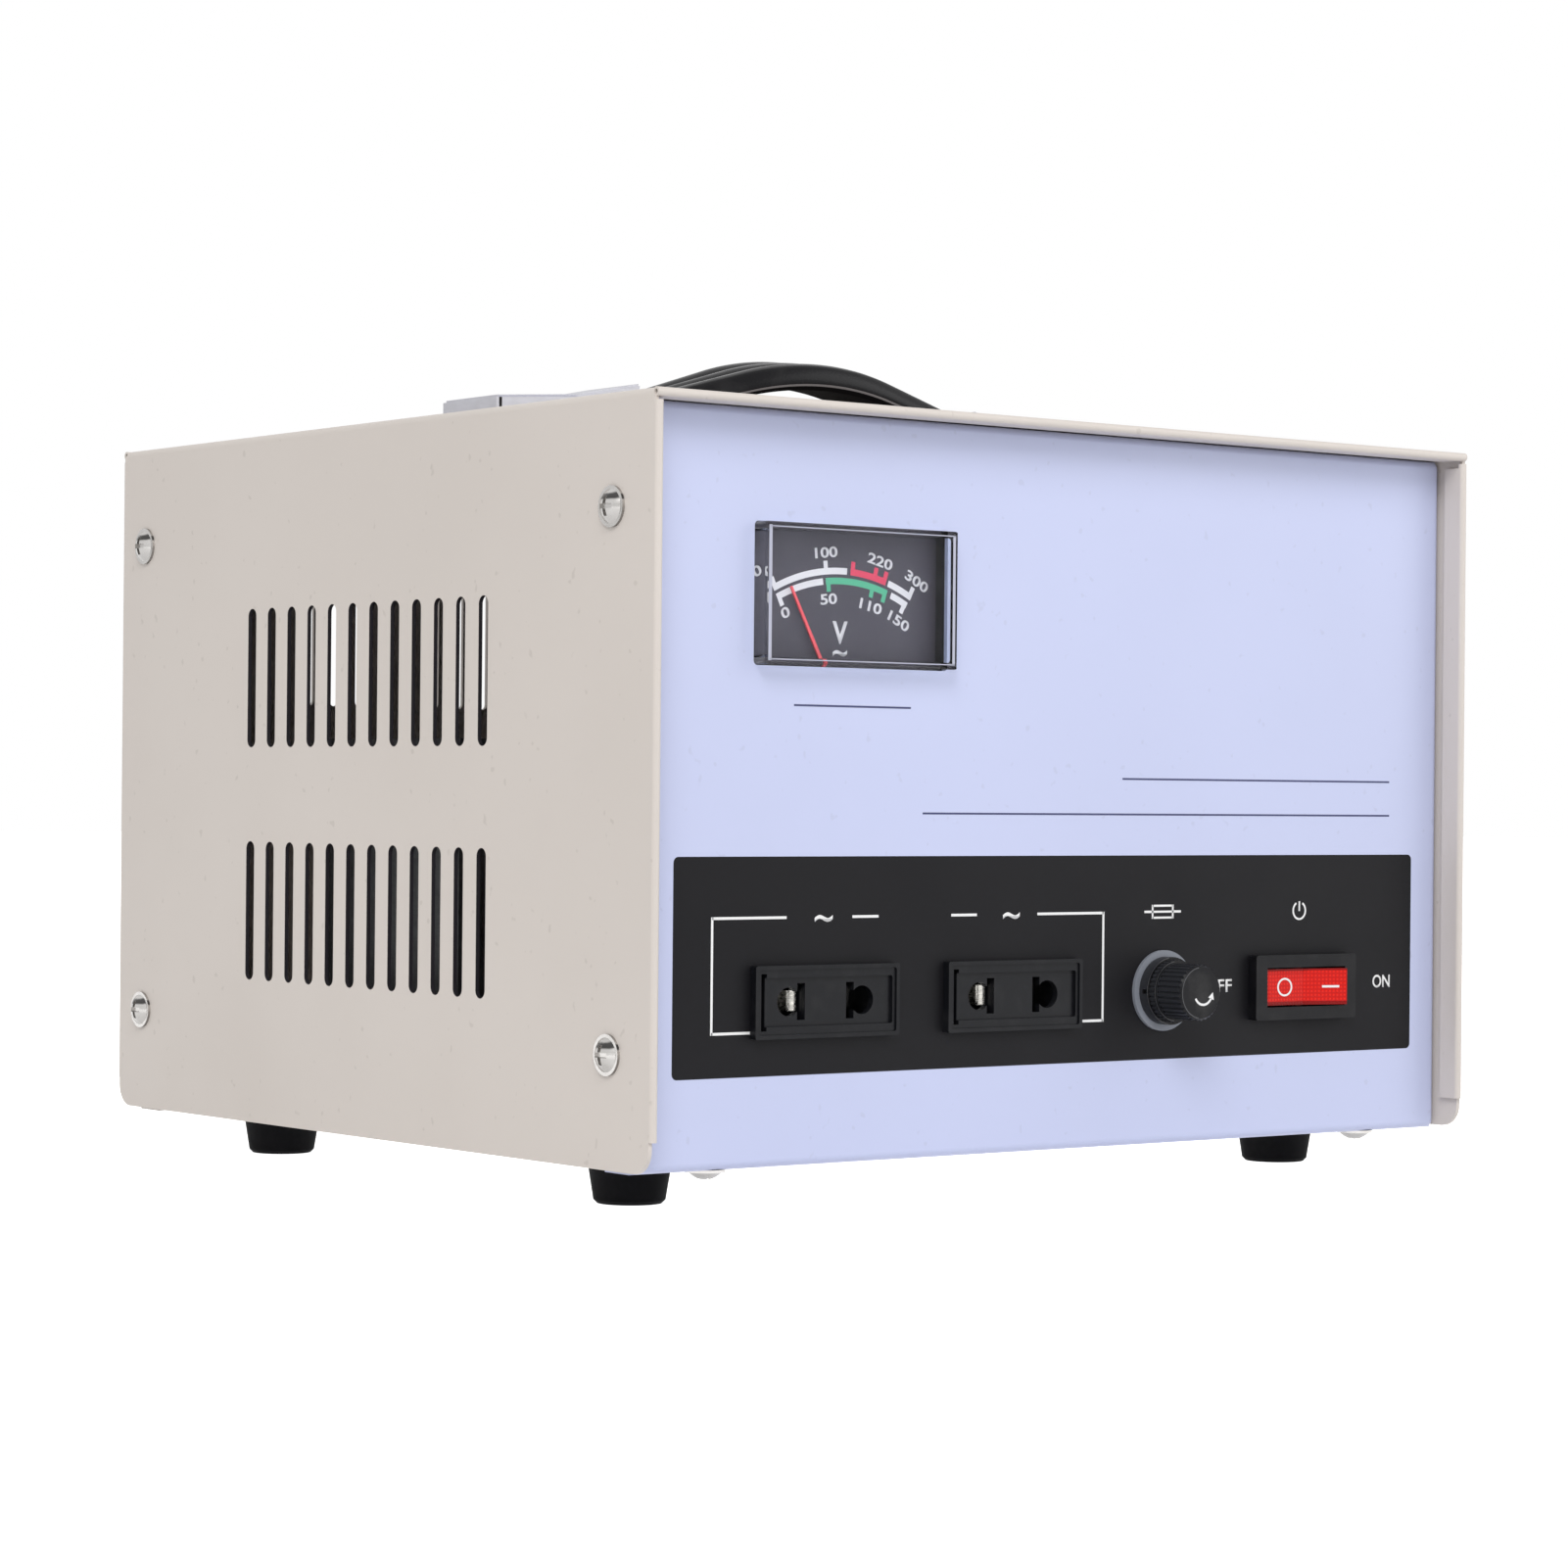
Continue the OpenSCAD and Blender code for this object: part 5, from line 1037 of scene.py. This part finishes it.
# %% Print the power sign, ON and OFF
POWER_Z = 50.0
POWER_R = 1.9
POWER_GAP_DEG = 32
POWER_BAR_UP_MM = 1.0
POWER_BAR_MM = 2.2
ON_X = 95.7
OFF_X = 44.4
WORD_Z = 33.45
WORD_MM = 2.8
switch_x, switch_z = middle_of("switch_body")
for number, (start, end) in enumerate([(POWER_GAP_DEG, 180), (180, 360 - POWER_GAP_DEG)]):
    print_arc(f"print_power_ring_{number}", white_ink, switch_x, over_field_y, POWER_Z, POWER_R,
              THIN_LINE_MM, start, end)
print_bar("print_power_bar", white_ink, switch_x, over_field_y, POWER_Z + POWER_BAR_UP_MM,
          THIN_LINE_MM, POWER_BAR_MM)
for name, words, x, wide in (("print_on", "ON", ON_X, 0.92), ("print_off", "OFF", OFF_X, 1.22)):
    print_words(name, white_ink, words, x, over_field_y, WORD_Z, WORD_MM, weight=WORD_WEIGHT,
                wide=wide)
print("signs at the switch printed")

# %% [markdown]
# ### Plain rules on the coloured part of the panel
#
# A large bare face looks unfinished, so makers divide it. Three thin rules do that here. They are
# bars of ink like the others, in a dark blue.

# %% Print the plain rules
RULE_MM = 0.4
# Each rule has its middle's X and Z, and its length.
rules = [(-59.4, 93.3, 30.7), (56.6, 79.1, 82.3), (28.6, 71.4, 138.4)]
for number, (x, z, w) in enumerate(rules):
    print_bar(f"print_rule_{number}", navy_ink, x, panel_y, z, w, RULE_MM)
print("rules:", len(rules))

# %% [markdown]
# ## The meter's dial
#
# The dial has two scales as arcs about one centre under the window: an outer one and an inner
# one. Each is a band in three colours, with ticks and figures. A printed dial could be one picture,
# but bands, ticks and figures of their own stay sharp and can be moved. Angles are from upright.

# %% Draw the dial's bands and ticks
dial_x = middle_of("meter_dial")[0]
ARC_Z = 82.3
OUTER_R = 39.0
INNER_R = 36.95
BAND_MM = 1.35
# Each band goes from one angle to another, and each tick stands at one.
outer_bands = [(-26.6, 2.5, dial_white), (3.9, 18.1, red_ink), (18.9, 28.9, dial_white)]
inner_bands = [(-26.5, -7.1, dial_white), (-5.9, 19.6, green_ink), (21.2, 28.4, dial_white)]
outer_ticks = [(-25.8, dial_white), (-5.6, dial_white), (4.7, red_ink), (13.4, red_ink),
               (17.3, red_ink), (28.1, dial_white)]
inner_ticks = [(-25.7, dial_white), (-5.0, green_ink), (13.3, green_ink), (18.7, green_ink),
               (27.5, dial_white)]
TICK_LENGTH = 1.5
TICK_WIDTH = 1.05


def polar(radius, angle):
    return (dial_x + radius * math.sin(math.radians(angle)),
            ARC_Z + radius * math.cos(math.radians(angle)))


for scale, radius, bands in (("outer", OUTER_R, outer_bands), ("inner", INNER_R, inner_bands)):
    for number, (start, end, ink) in enumerate(bands):
        print_arc(f"dial_{scale}_band_{number}", ink, dial_x, dial_y, ARC_Z, radius, BAND_MM,
                  start, end)
for scale, radius, ticks, way in (("outer", OUTER_R, outer_ticks, 1),
                                  ("inner", INNER_R, inner_ticks, -1)):
    for number, (angle, ink) in enumerate(ticks):
        x, z = polar(radius + way * (BAND_MM + TICK_LENGTH) / 2, angle)
        print_bar(f"dial_{scale}_tick_{number}", ink, x, dial_y, z, TICK_WIDTH, TICK_LENGTH, angle)
print("bands:", len(outer_bands + inner_bands), "ticks:", len(outer_ticks + inner_ticks))

# %% [markdown]
# The figures stand along the arcs, each turned to point away from their centre. Their places are
# chosen one by one, because a dial's figures have to keep clear of its ticks. The unit under them
# is a V with a wave.

# %% Print the figures on the dial
FIGURE_MM = 2.1
FIGURE_WEIGHT = 0.07
FIGURE_WIDE = 1.5
# Each figure has its words, and its middle's X and Z.
outer_figures = [("0", -80.6, 120.4), ("100", -63.9, 124.85), ("220", -49.25, 123.6),
                 ("300", -39.45, 119.85)]
inner_figures = [("0", -73.95, 112.15), ("50", -62.8, 115.3), ("110", -52.05, 114.25),
                 ("150", -44.5, 111.5)]
# Each sign has its name, its words, its Z, its height, its weight and its width.
dial_signs = [("unit", "V", 108.35, 4.45, 0.17, 0.92), ("wave", "~", 104.55, 4.8, 0.11, 0.98)]
for scale, figures in (("outer", outer_figures), ("inner", inner_figures)):
    for words, x, z in figures:
        angle = math.degrees(math.atan2(x - dial_x, z - ARC_Z))
        print_words(f"dial_{scale}_{words}", dial_white, words, x, dial_y, z, FIGURE_MM, angle,
                    weight=FIGURE_WEIGHT, wide=FIGURE_WIDE)
for sign, words, z, height, weight, wide in dial_signs:
    print_words(f"dial_{sign}", dial_white, words, dial_x, dial_y, z, height, weight=weight,
                wide=wide)
print("figures:", len(outer_figures + inner_figures), "signs:", len(dial_signs))

# %% [markdown]
# ## The window's edges
#
# The clear window is a box with thin walls. The edges of the walls are polished and catch the
# light as pale lines round its front. Clear plastic lit by a real room would show them by itself,
# but only at some angles, so thin pale bars on the window paint these highlights in.

# %% Paint highlights on the edges of the window's walls
WINDOW = dict(left=-84.96, right=-34.46, low=101.4, high=130.2)
WALL_MM = 1.0
HAIRLINE_MM = 0.22
LEFT_LINE_MM = 0.8
LEFT_SHORT_MM = 1.4
RIGHT_LINE_MM = 0.7
RIGHT_IN_MM = 1.3
window_y = front_of("meter_window")
window_x = (WINDOW["left"] + WINDOW["right"]) / 2
window_w = WINDOW["right"] - WINDOW["left"]
window_z = (WINDOW["low"] + WINDOW["high"]) / 2
window_h = WINDOW["high"] - WINDOW["low"]
# Each edge has its side, its middle's X and Z, its width and its height.
edges = [
    ("left", WINDOW["left"] + WALL_MM, window_z, LEFT_LINE_MM, window_h - LEFT_SHORT_MM),
    ("top", window_x, WINDOW["high"] - WALL_MM, window_w - 2 * WALL_MM, HAIRLINE_MM),
    ("low", window_x, WINDOW["low"] + WALL_MM, window_w - 2 * WALL_MM, HAIRLINE_MM),
    ("right", WINDOW["right"] - RIGHT_IN_MM, window_z, RIGHT_LINE_MM, window_h - 2 * WALL_MM),
]
for side, x, z, w, h in edges:
    print_bar(f"window_edge_{side}", painted_edge_glint, x, window_y, z, w, h)
print("window edges:", len(edges))

# %% [markdown]
# ## Small shadows
#
# A cross recess in a bright screw looks black, because its floor sees nothing of the room. The
# bright metal here would still mirror the pale sky, so thin black plates lie at the floors. One
# cross is made of two bars, then copied to the other seven screws.

# %% Darken the floors of the side screws' recesses
SCREW_TOP_MM = 117.146
RECESS_DEEP_MM = 1.08
RECESS_LONG_MM = 3.9
RECESS_WIDE_MM = 0.94
FRONT_SCREW_Y = 15.0
REAR_SCREW_Y = 205.6
LOW_SCREW_Z = 23.0
HIGH_SCREW_Z = 132.1


def make_recess_cross():
    floor_x = RECESS_DEEP_MM - SCREW_TOP_MM
    for number, (w, h) in enumerate([(RECESS_LONG_MM, RECESS_WIDE_MM),
                                     (RECESS_WIDE_MM, RECESS_LONG_MM)]):
        print_bar(f"screw_recess_{number}", shadow_black, floor_x, FRONT_SCREW_Y,
                  LOW_SCREW_Z, w, h, yaw=-90)
    bpy.ops.object.select_all(action="DESELECT")
    cross = bpy.data.objects["screw_recess_0"]
    other = bpy.data.objects["screw_recess_1"]
    cross.select_set(True)
    other.select_set(True)
    bpy.context.view_layer.objects.active = cross
    bpy.ops.object.join()
    return cross


def copy_recess_cross(cross):
    count = 0
    for side in (-1, 1):
        for y in (FRONT_SCREW_Y, REAR_SCREW_Y):
            for z in (LOW_SCREW_Z, HIGH_SCREW_Z):
                if (side, y, z) == (-1, FRONT_SCREW_Y, LOW_SCREW_Z):
                    continue
                bpy.ops.object.select_all(action="DESELECT")
                bpy.context.view_layer.objects.active = cross
                cross.select_set(True)
                bpy.ops.object.duplicate()
                twin = bpy.context.object
                count += 1
                twin.name = f"screw_recess_copy_{count}"
                shift = place(0, y, z) - place(0, FRONT_SCREW_Y, LOW_SCREW_Z)
                about = place(0, FRONT_SCREW_Y, 0)
                if side == 1:
                    turn = Matrix.Rotation(math.radians(180), 4, "Z")
                    twin.data.transform(Matrix.Translation(about) @ turn
                                        @ Matrix.Translation(-about))
                twin.data.transform(Matrix.Translation(shift))
                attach(twin, "case")
    print("recess crosses:", count + 1)


copy_recess_cross(make_recess_cross())

# %% [markdown]
# ### The caps' folds
#
# Each handle cap is folded from sheet. Its corner shows a fine dark seam where two walls meet, and
# the fold along its top catches the light. Both are finer than the sheet itself, so they are laid
# on as marks and not modelled as gaps: the seam as a dark bar, the fold's light as a painted
# highlight.

# %% Darken the caps' seams and paint a highlight along their top edges
CAP_SEAM_X = 86.9
CAP_SEAM_Z = 159.4
CAP_SEAM_W = 0.7
CAP_SEAM_H = 4.4
CAP_EDGE_X = 77.0
CAP_EDGE_Z = 162.45
CAP_EDGE_W = 21.0
CAP_EDGE_H = 0.25
CAP_RISE_MM = 1.5
CAP_RUN_MM = 22
CAP_SLOPE = math.degrees(math.atan2(CAP_RISE_MM, CAP_RUN_MM))
cap_front_y = front_of("handle_cap_left")
for name, side in (("left", -1), ("right", 1)):
    print_bar(f"cap_seam_{name}", shadow_black, side * CAP_SEAM_X, cap_front_y, CAP_SEAM_Z,
              CAP_SEAM_W, CAP_SEAM_H)
    # Painted highlight along the cap's top fold.
    print_bar(f"cap_edge_{name}", painted_edge_glint, side * CAP_EDGE_X, cap_front_y, CAP_EDGE_Z,
              CAP_EDGE_W, CAP_EDGE_H, side * CAP_SLOPE)
print("cap seams and edges at", round(cap_front_y, 2), "mm")

# %% [markdown]
# ## Signs on the moving pieces
#
# The rocker has O at the side that is pressed at rest and a bar at the other. They lie on its two
# faces, which stand at an angle to each other, and they ride with it.

# %% Mark the rocker
ROCKER_TILT = 9
ROCKER_PIVOT_MM = 3.4
ROCKER_DIP_MM = 2.5
OFF_SIGN_OUT_MM = 5.95
OFF_SIGN_R = 1.85
OFF_SIGN_LINE_MM = 0.42
OFF_SIGN_STRETCH = 1.12
ON_SIGN_OUT_MM = 6.3
ON_SIGN_W = 4.3
ON_SIGN_H = 0.5
tilt = math.radians(ROCKER_TILT)
dip_x = switch_x - ROCKER_DIP_MM * math.sin(tilt)
dip_y = front_of("switch_body") + ROCKER_PIVOT_MM - ROCKER_DIP_MM * math.cos(tilt)
print_arc("rocker_off_sign", white_ink, switch_x - OFF_SIGN_OUT_MM, dip_y, switch_z, OFF_SIGN_R,
          OFF_SIGN_LINE_MM, 0, 360, body="switch_rocker", stretch=OFF_SIGN_STRETCH)
bar_y = dip_y - (switch_x + ON_SIGN_OUT_MM - dip_x) * math.tan(2 * tilt)
print_bar("rocker_on_sign", white_ink, switch_x + ON_SIGN_OUT_MM, bar_y, switch_z, ON_SIGN_W,
          ON_SIGN_H, body="switch_rocker", yaw=-2 * ROCKER_TILT)
print("rocker faces meet", round(dip_y, 2), "mm behind the cover's edge")

# %% [markdown]
# The fuse cap has a curved arrow that shows which way it turns: an arc for the shaft and a circle of
# three points for the tip. Both ride on the cap, so the arrow turns with it.

# %% Mark the fuse cap
ARROW_R = 2.6
ARROW_LINE_MM = 0.5
ARROW_FROM = 120
ARROW_TO = 240
ARROW_TIP = 110
ARROW_TIP_R = 1.0
ARROW_ASIDE_MM = 0.7
cap_x, cap_z = middle_of("fuse_cap")
cap_y = front_of("fuse_cap")
arrow_x = cap_x + ARROW_ASIDE_MM
print_arc("fuse_cap_arrow_shaft", white_ink, arrow_x, cap_y, cap_z, ARROW_R, ARROW_LINE_MM,
          ARROW_FROM, ARROW_TO, body="fuse_cap")
tip_x = arrow_x + ARROW_R * math.sin(math.radians(ARROW_TIP))
tip_z = cap_z + ARROW_R * math.cos(math.radians(ARROW_TIP))


def print_arrow_tip():
    bpy.ops.object.select_all(action="DESELECT")
    bpy.ops.mesh.primitive_circle_add(vertices=3, radius=ARROW_TIP_R * MM, fill_type="NGON")
    lay_flat_mark("fuse_cap_arrow_tip", white_ink, tip_x, cap_y, tip_z, ARROW_TIP - 90,
                  body="fuse_cap")


print_arrow_tip()
print("the arrow rides on the fuse cap")

# %% [markdown]
# The round edges of the cap and its holder catch the light as thin pale lines, most of all towards
# the main lamp. These lines are painted highlights: a thin pale arc lies on the lit part of each
# edge. A bevel a fifth of a millimetre wide would do it too, but a thin arc on each edge leaves the
# solids as they are.

# %% Paint highlights on the round edges of the fuse cap and its holder
EDGE_W_MM = 0.2
CAP_FACE_R = 5.48
CAP_RIM_R = 6.5
CAP_RIM_OUT_MM = 1.65
HOLDER_R = 7.25
RIM_HIGHLIGHT_FROM = 188
RIM_HIGHLIGHT_TO = 352
holder_y = front_of("fuse_holder")
# Each rim has its name, its Y, its radius and the body that it rides on.
rim_highlights = [("fuse_cap_face_edge", cap_y, CAP_FACE_R, "fuse_cap"),
               ("fuse_cap_rim_edge", holder_y - CAP_RIM_OUT_MM, CAP_RIM_R, "fuse_cap"),
               ("fuse_holder_edge", holder_y, HOLDER_R, "case")]
# Painted highlights: arcs only on the side towards the main lamp.
for name, y, radius, body in rim_highlights:
    print_arc(name, painted_rim_highlight, cap_x, y, cap_z, radius, EDGE_W_MM, RIM_HIGHLIGHT_FROM, RIM_HIGHLIGHT_TO,
              body=body)
print("rubbed edges:", len(rim_highlights))

# %% [markdown]
# ## The strap
#
# The real strap is moulded vinyl with three soft ribs along its back. The solid shows its form with
# plain steps. Here one rounded section is extruded station by station, which gives smooth ribs that
# catch the light. The stations follow a flat arch that leaves the caps nearly straight. A soft
# handle never stands quite upright, so its middle leans and rolls a little towards the front.

# %% Find the strap's line
strap_low, strap_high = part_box("handle_strap")
STRAP_END_T = 4.8
STRAP_CROWN_T = 6.1
STRAP_SWELL_W = 0.18
ARCH_R = 73.9
FLANK_DEG = 16.8
ARCH_ASIDE_MM = 1.6
MOUTH_MM = 50.0
BEND_R = 15.0
LEAN_MM = 2.5
ROLL_DEG = 6.2
ARCH_STEPS = 32
BEND_STEPS = 6
END_GAP_MM = 0.05
strap_half = (strap_high.x - strap_low.x) / 2 / MM
strap_floor = (strap_low.z - cover_low.z) / MM
strap_crown = (strap_high.z - cover_low.z) / MM
strap_mid_y = ((strap_low.y + strap_high.y) / 2 - cover_low.y) / MM
strap_w = (strap_high.y - strap_low.y) / MM
strap_swell_t = STRAP_CROWN_T / STRAP_END_T - 1
flank = math.radians(FLANK_DEG)


def arch_drop(out):
    """How far the back of the arch lies under its crown, at a distance from the middle."""
    round_end = ARCH_R * math.sin(flank)
    if out < round_end:
        return ARCH_R - math.sqrt(ARCH_R ** 2 - out ** 2)
    return ARCH_R * (1 - math.cos(flank)) + (out - round_end) * math.tan(flank)


def strap_stations():
    """Points of the strap's back, each with its slope and how far it has swelled, in order."""
    right = []
    for step in range(ARCH_STEPS + 1):
        out = MOUTH_MM * step / ARCH_STEPS
        slope = min(flank, math.asin(min(1.0, out / ARCH_R)))
        grown = 1 - arch_drop(out) / arch_drop(MOUTH_MM)
        right.append((out + ARCH_ASIDE_MM, strap_crown - arch_drop(out), slope, grown))
    x, z, slope, grown = right[-1]
    bend_top = strap_floor + BEND_R * (1 - math.cos(flank)) + STRAP_END_T * math.cos(flank)
    run = (z - bend_top) / math.tan(flank)
    bend_x = x + run - STRAP_END_T * math.sin(flank)
    for step in range(BEND_STEPS + 1):
        slope = flank * (1 - step / BEND_STEPS)
        under_x = bend_x + BEND_R * (math.sin(flank) - math.sin(slope))
        under_z = strap_floor + BEND_R * (1 - math.cos(slope))
        right.append((under_x + STRAP_END_T * math.sin(slope),
                      under_z + STRAP_END_T * math.cos(slope), slope, 0.0))
    left = [(2 * ARCH_ASIDE_MM - x, z, -slope, grown) for x, z, slope, grown in right[:0:-1]]
    end_z = strap_floor + STRAP_END_T
    ends = [(side * (strap_half - END_GAP_MM), end_z, 0.0, 0.0) for side in (-1, 1)]
    return [ends[0]] + left + right + [ends[1]]


print("strap:", round(strap_crown - strap_floor, 2), "mm high, drops",
      round(arch_drop(MOUTH_MM), 2), "mm to the caps")

# %% [markdown]
# The section has a flat underside, round edges and three ribs. It is worked out once, as points
# from one lower corner over the ribs to the other, and then set at every station. The ribs are
# arches of a cosine, raised a little so that their crowns are broad and their valleys narrow.

# %% Draw the strap's section
VALLEY_MM = 3.3
RIB_INSET = 0.02
RIBS = 3
RIB_STEPS = 48
RIB_ROUND = 0.7
EDGE_R = 1.6
EDGE_STEPS = 6
EDGE_LIFT_MM = 0.2
RIM_IN_MM = 0.15
SHOULDER_MM = 1.3


def strap_edge(middle, from_deg):
    """A quarter turn of the section's round edge, about a middle across."""
    angles = [math.radians(from_deg + 90 * step / EDGE_STEPS) for step in range(EDGE_STEPS + 1)]
    return [(middle + EDGE_R * math.cos(angle), EDGE_R + EDGE_R * math.sin(angle))
            for angle in angles]


def strap_profile():
    """The section: flat underside, round edges and three soft ribs, as (across, up)."""
    half = strap_w / 2
    base = EDGE_R + EDGE_LIFT_MM
    ribs = []
    for step in range(RIB_STEPS + 1):
        across = (half - RIM_IN_MM) * (1 - 2 * step / RIB_STEPS)
        phase = abs(math.cos(math.pi * across / (strap_w / RIBS)))
        height = VALLEY_MM + (STRAP_END_T - VALLEY_MM - RIB_INSET) * phase ** RIB_ROUND
        shoulder = min(1.0, (half - abs(across)) / SHOULDER_MM)
        ribs.append((across, base + (height - base) * math.sqrt(shoulder)))
    return strap_edge(half - EDGE_R, -90) + ribs + strap_edge(EDGE_R - half, 180)


print("section of", len(strap_profile()), "points")

# %% [markdown]
# A circle with as many points as the section starts the strap. It is extruded once for each
# station, and the new points then take the section's places there, wider, thicker and more turned
# the nearer the crown is. The faces that look down get the darker, duller back as painted shade,
# and a narrow row of them along the lower edge gets a painted highlight. The piece replaces the
# solid strap and rides on the case.

# %% Extrude the strap station by station
EDGE_HIGHLIGHT_FROM = 0.84
EDGE_HIGHLIGHT_TO = 0.955
EDGE_HIGHLIGHT_DOWN = -0.2
SHADED_BACK_DOWN = -0.5
SMOOTH_DEG = 40


def make_strap():
    profile = strap_profile()
    stations = strap_stations()
    bpy.ops.object.select_all(action="DESELECT")
    bpy.ops.mesh.primitive_circle_add(vertices=len(profile), radius=STRAP_END_T * MM,
                                      fill_type="NGON")
    strap = bpy.context.object
    for number, (x, z, slope, grown) in enumerate(stations):
        if number:
            bpy.ops.object.mode_set(mode="EDIT")
            bpy.ops.mesh.extrude_region_move()
            bpy.ops.object.mode_set(mode="OBJECT")
        chosen = [v for v in strap.data.vertices if v.select]
        roll = math.radians(ROLL_DEG) * grown
        up_way = Vector((math.sin(slope), 0, math.cos(slope)))
        side_way = Vector((0, -1, 0))
        top_way = up_way * math.cos(roll) + side_way * math.sin(roll)
        near_way = side_way * math.cos(roll) - up_way * math.sin(roll)
        back = Vector((x, strap_mid_y - LEAN_MM * grown, z))
        for vertex, (across, up) in zip(chosen, profile):
            spot = (back + near_way * across * (1 + STRAP_SWELL_W * grown)
                    + top_way * (up - STRAP_END_T) * (1 + strap_swell_t * grown))
            vertex.co = place(*spot)
    bpy.ops.object.mode_set(mode="EDIT")
    bpy.ops.mesh.select_all(action="SELECT")
    bpy.ops.mesh.normals_make_consistent(inside=False)
    bpy.ops.object.mode_set(mode="OBJECT")
    bpy.ops.object.shade_smooth_by_angle(angle=math.radians(SMOOTH_DEG))
    strap.name = "strap"
    strap.data.name = "strap"
    for material in (strap_vinyl, shaded_strap_back, strap_edge_highlight):
        strap.data.materials.append(material)
    # Painted highlight on a narrow row along the lower edge, painted shade on faces that look down.
    for face in strap.data.polygons:
        sideways = abs(face.normal.y)
        if face.normal.z < EDGE_HIGHLIGHT_DOWN and EDGE_HIGHLIGHT_FROM < sideways < EDGE_HIGHLIGHT_TO:
            face.material_index = 2
        elif face.normal.z < SHADED_BACK_DOWN:
            face.material_index = 1
    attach(strap, "case")
    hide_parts("handle_strap")
    print("strap:", len(strap.data.polygons), "faces from", len(stations), "stations")


make_strap()

# %% [markdown]
# ## Light and floor
#
# A plain studio: a pale floor, one large soft lamp from the upper left front, a weaker one from
# the right, and an even pale sky. The background is white only for the camera and in mirror-like
# reflections, so the object itself is lit at a plain level.

# %% Make the floor white for the camera
FLOOR_M = 12
FLOOR_GREY = (0.86, 0.86, 0.86, 1)
FLOOR_ROUGH = 0.9


def seen_rays(tree):
    """1 for rays that the camera, a mirror or clear plastic sends, and 0 for those that light."""
    path = tree.nodes.new("ShaderNodeLightPath")
    seen = math_in(tree, "MAXIMUM", path.outputs["Is Camera Ray"], path.outputs["Is Glossy Ray"])
    return math_in(tree, "MAXIMUM", seen, path.outputs["Is Transmission Ray"])


def make_floor():
    bpy.ops.object.select_all(action="DESELECT")
    bpy.ops.mesh.primitive_plane_add(size=FLOOR_M, location=(0, 0, 0))
    floor = bpy.context.object
    floor.name = "studio_floor"
    material = bpy.data.materials.new("studio floor")
    material.use_nodes = True
    tree = material.node_tree
    shader = tree.nodes["Principled BSDF"]
    shader.inputs["Base Color"].default_value = FLOOR_GREY
    shader.inputs["Roughness"].default_value = FLOOR_ROUGH
    shader.inputs["Emission Color"].default_value = WHITE
    tree.links.new(seen_rays(tree), shader.inputs["Emission Strength"])
    floor.data.materials.append(material)


make_floor()
print("floor:", FLOOR_M, "m wide")

# %% [markdown]
# The lamps are round and large, so that shadows have soft edges, and both aim at the middle of the
# case. The sky is even and dim, and lifts the shadows without a direction of its own. Its colour is
# white, and only its strength differs between rays that are seen and rays that light.

# %% Hang the lamps and the sky
LAMP_TARGET = (0, 0, 0.08)
SKY_LEVEL = 0.55
# Each lamp has its name, its place, its width in metres and its power in watts.
lamps = [("key_lamp", (-1.1, -1.3, 1.5), 1.2, 26), ("fill_lamp", (1.4, -1.2, 0.9), 1.4, 9)]


def make_lamp(name, location, size, power):
    bpy.ops.object.select_all(action="DESELECT")
    bpy.ops.object.light_add(type="AREA", location=location)
    lamp = bpy.context.object
    lamp.name = name
    lamp.data.shape = "DISK"
    lamp.data.size = size
    lamp.data.energy = power
    aim = Vector(LAMP_TARGET) - Vector(location)
    lamp.rotation_euler = aim.to_track_quat("-Z", "Y").to_euler()


def make_sky():
    world = bpy.data.worlds.new("studio sky")
    bpy.context.scene.world = world
    world.use_nodes = True
    tree = world.node_tree
    background = tree.nodes["Background"]
    strength = tree.nodes.new("ShaderNodeMapRange")
    tree.links.new(seen_rays(tree), strength.inputs["Value"])
    strength.inputs["To Min"].default_value = SKY_LEVEL
    strength.inputs["To Max"].default_value = 1.0
    background.inputs["Color"].default_value = WHITE
    tree.links.new(strength.outputs["Result"], background.inputs["Strength"])


for lamp in lamps:
    make_lamp(*lamp)
make_sky()
bpy.context.scene.view_settings.view_transform = "Standard"
print("lamps:", len(lamps), "sky level:", SKY_LEVEL)
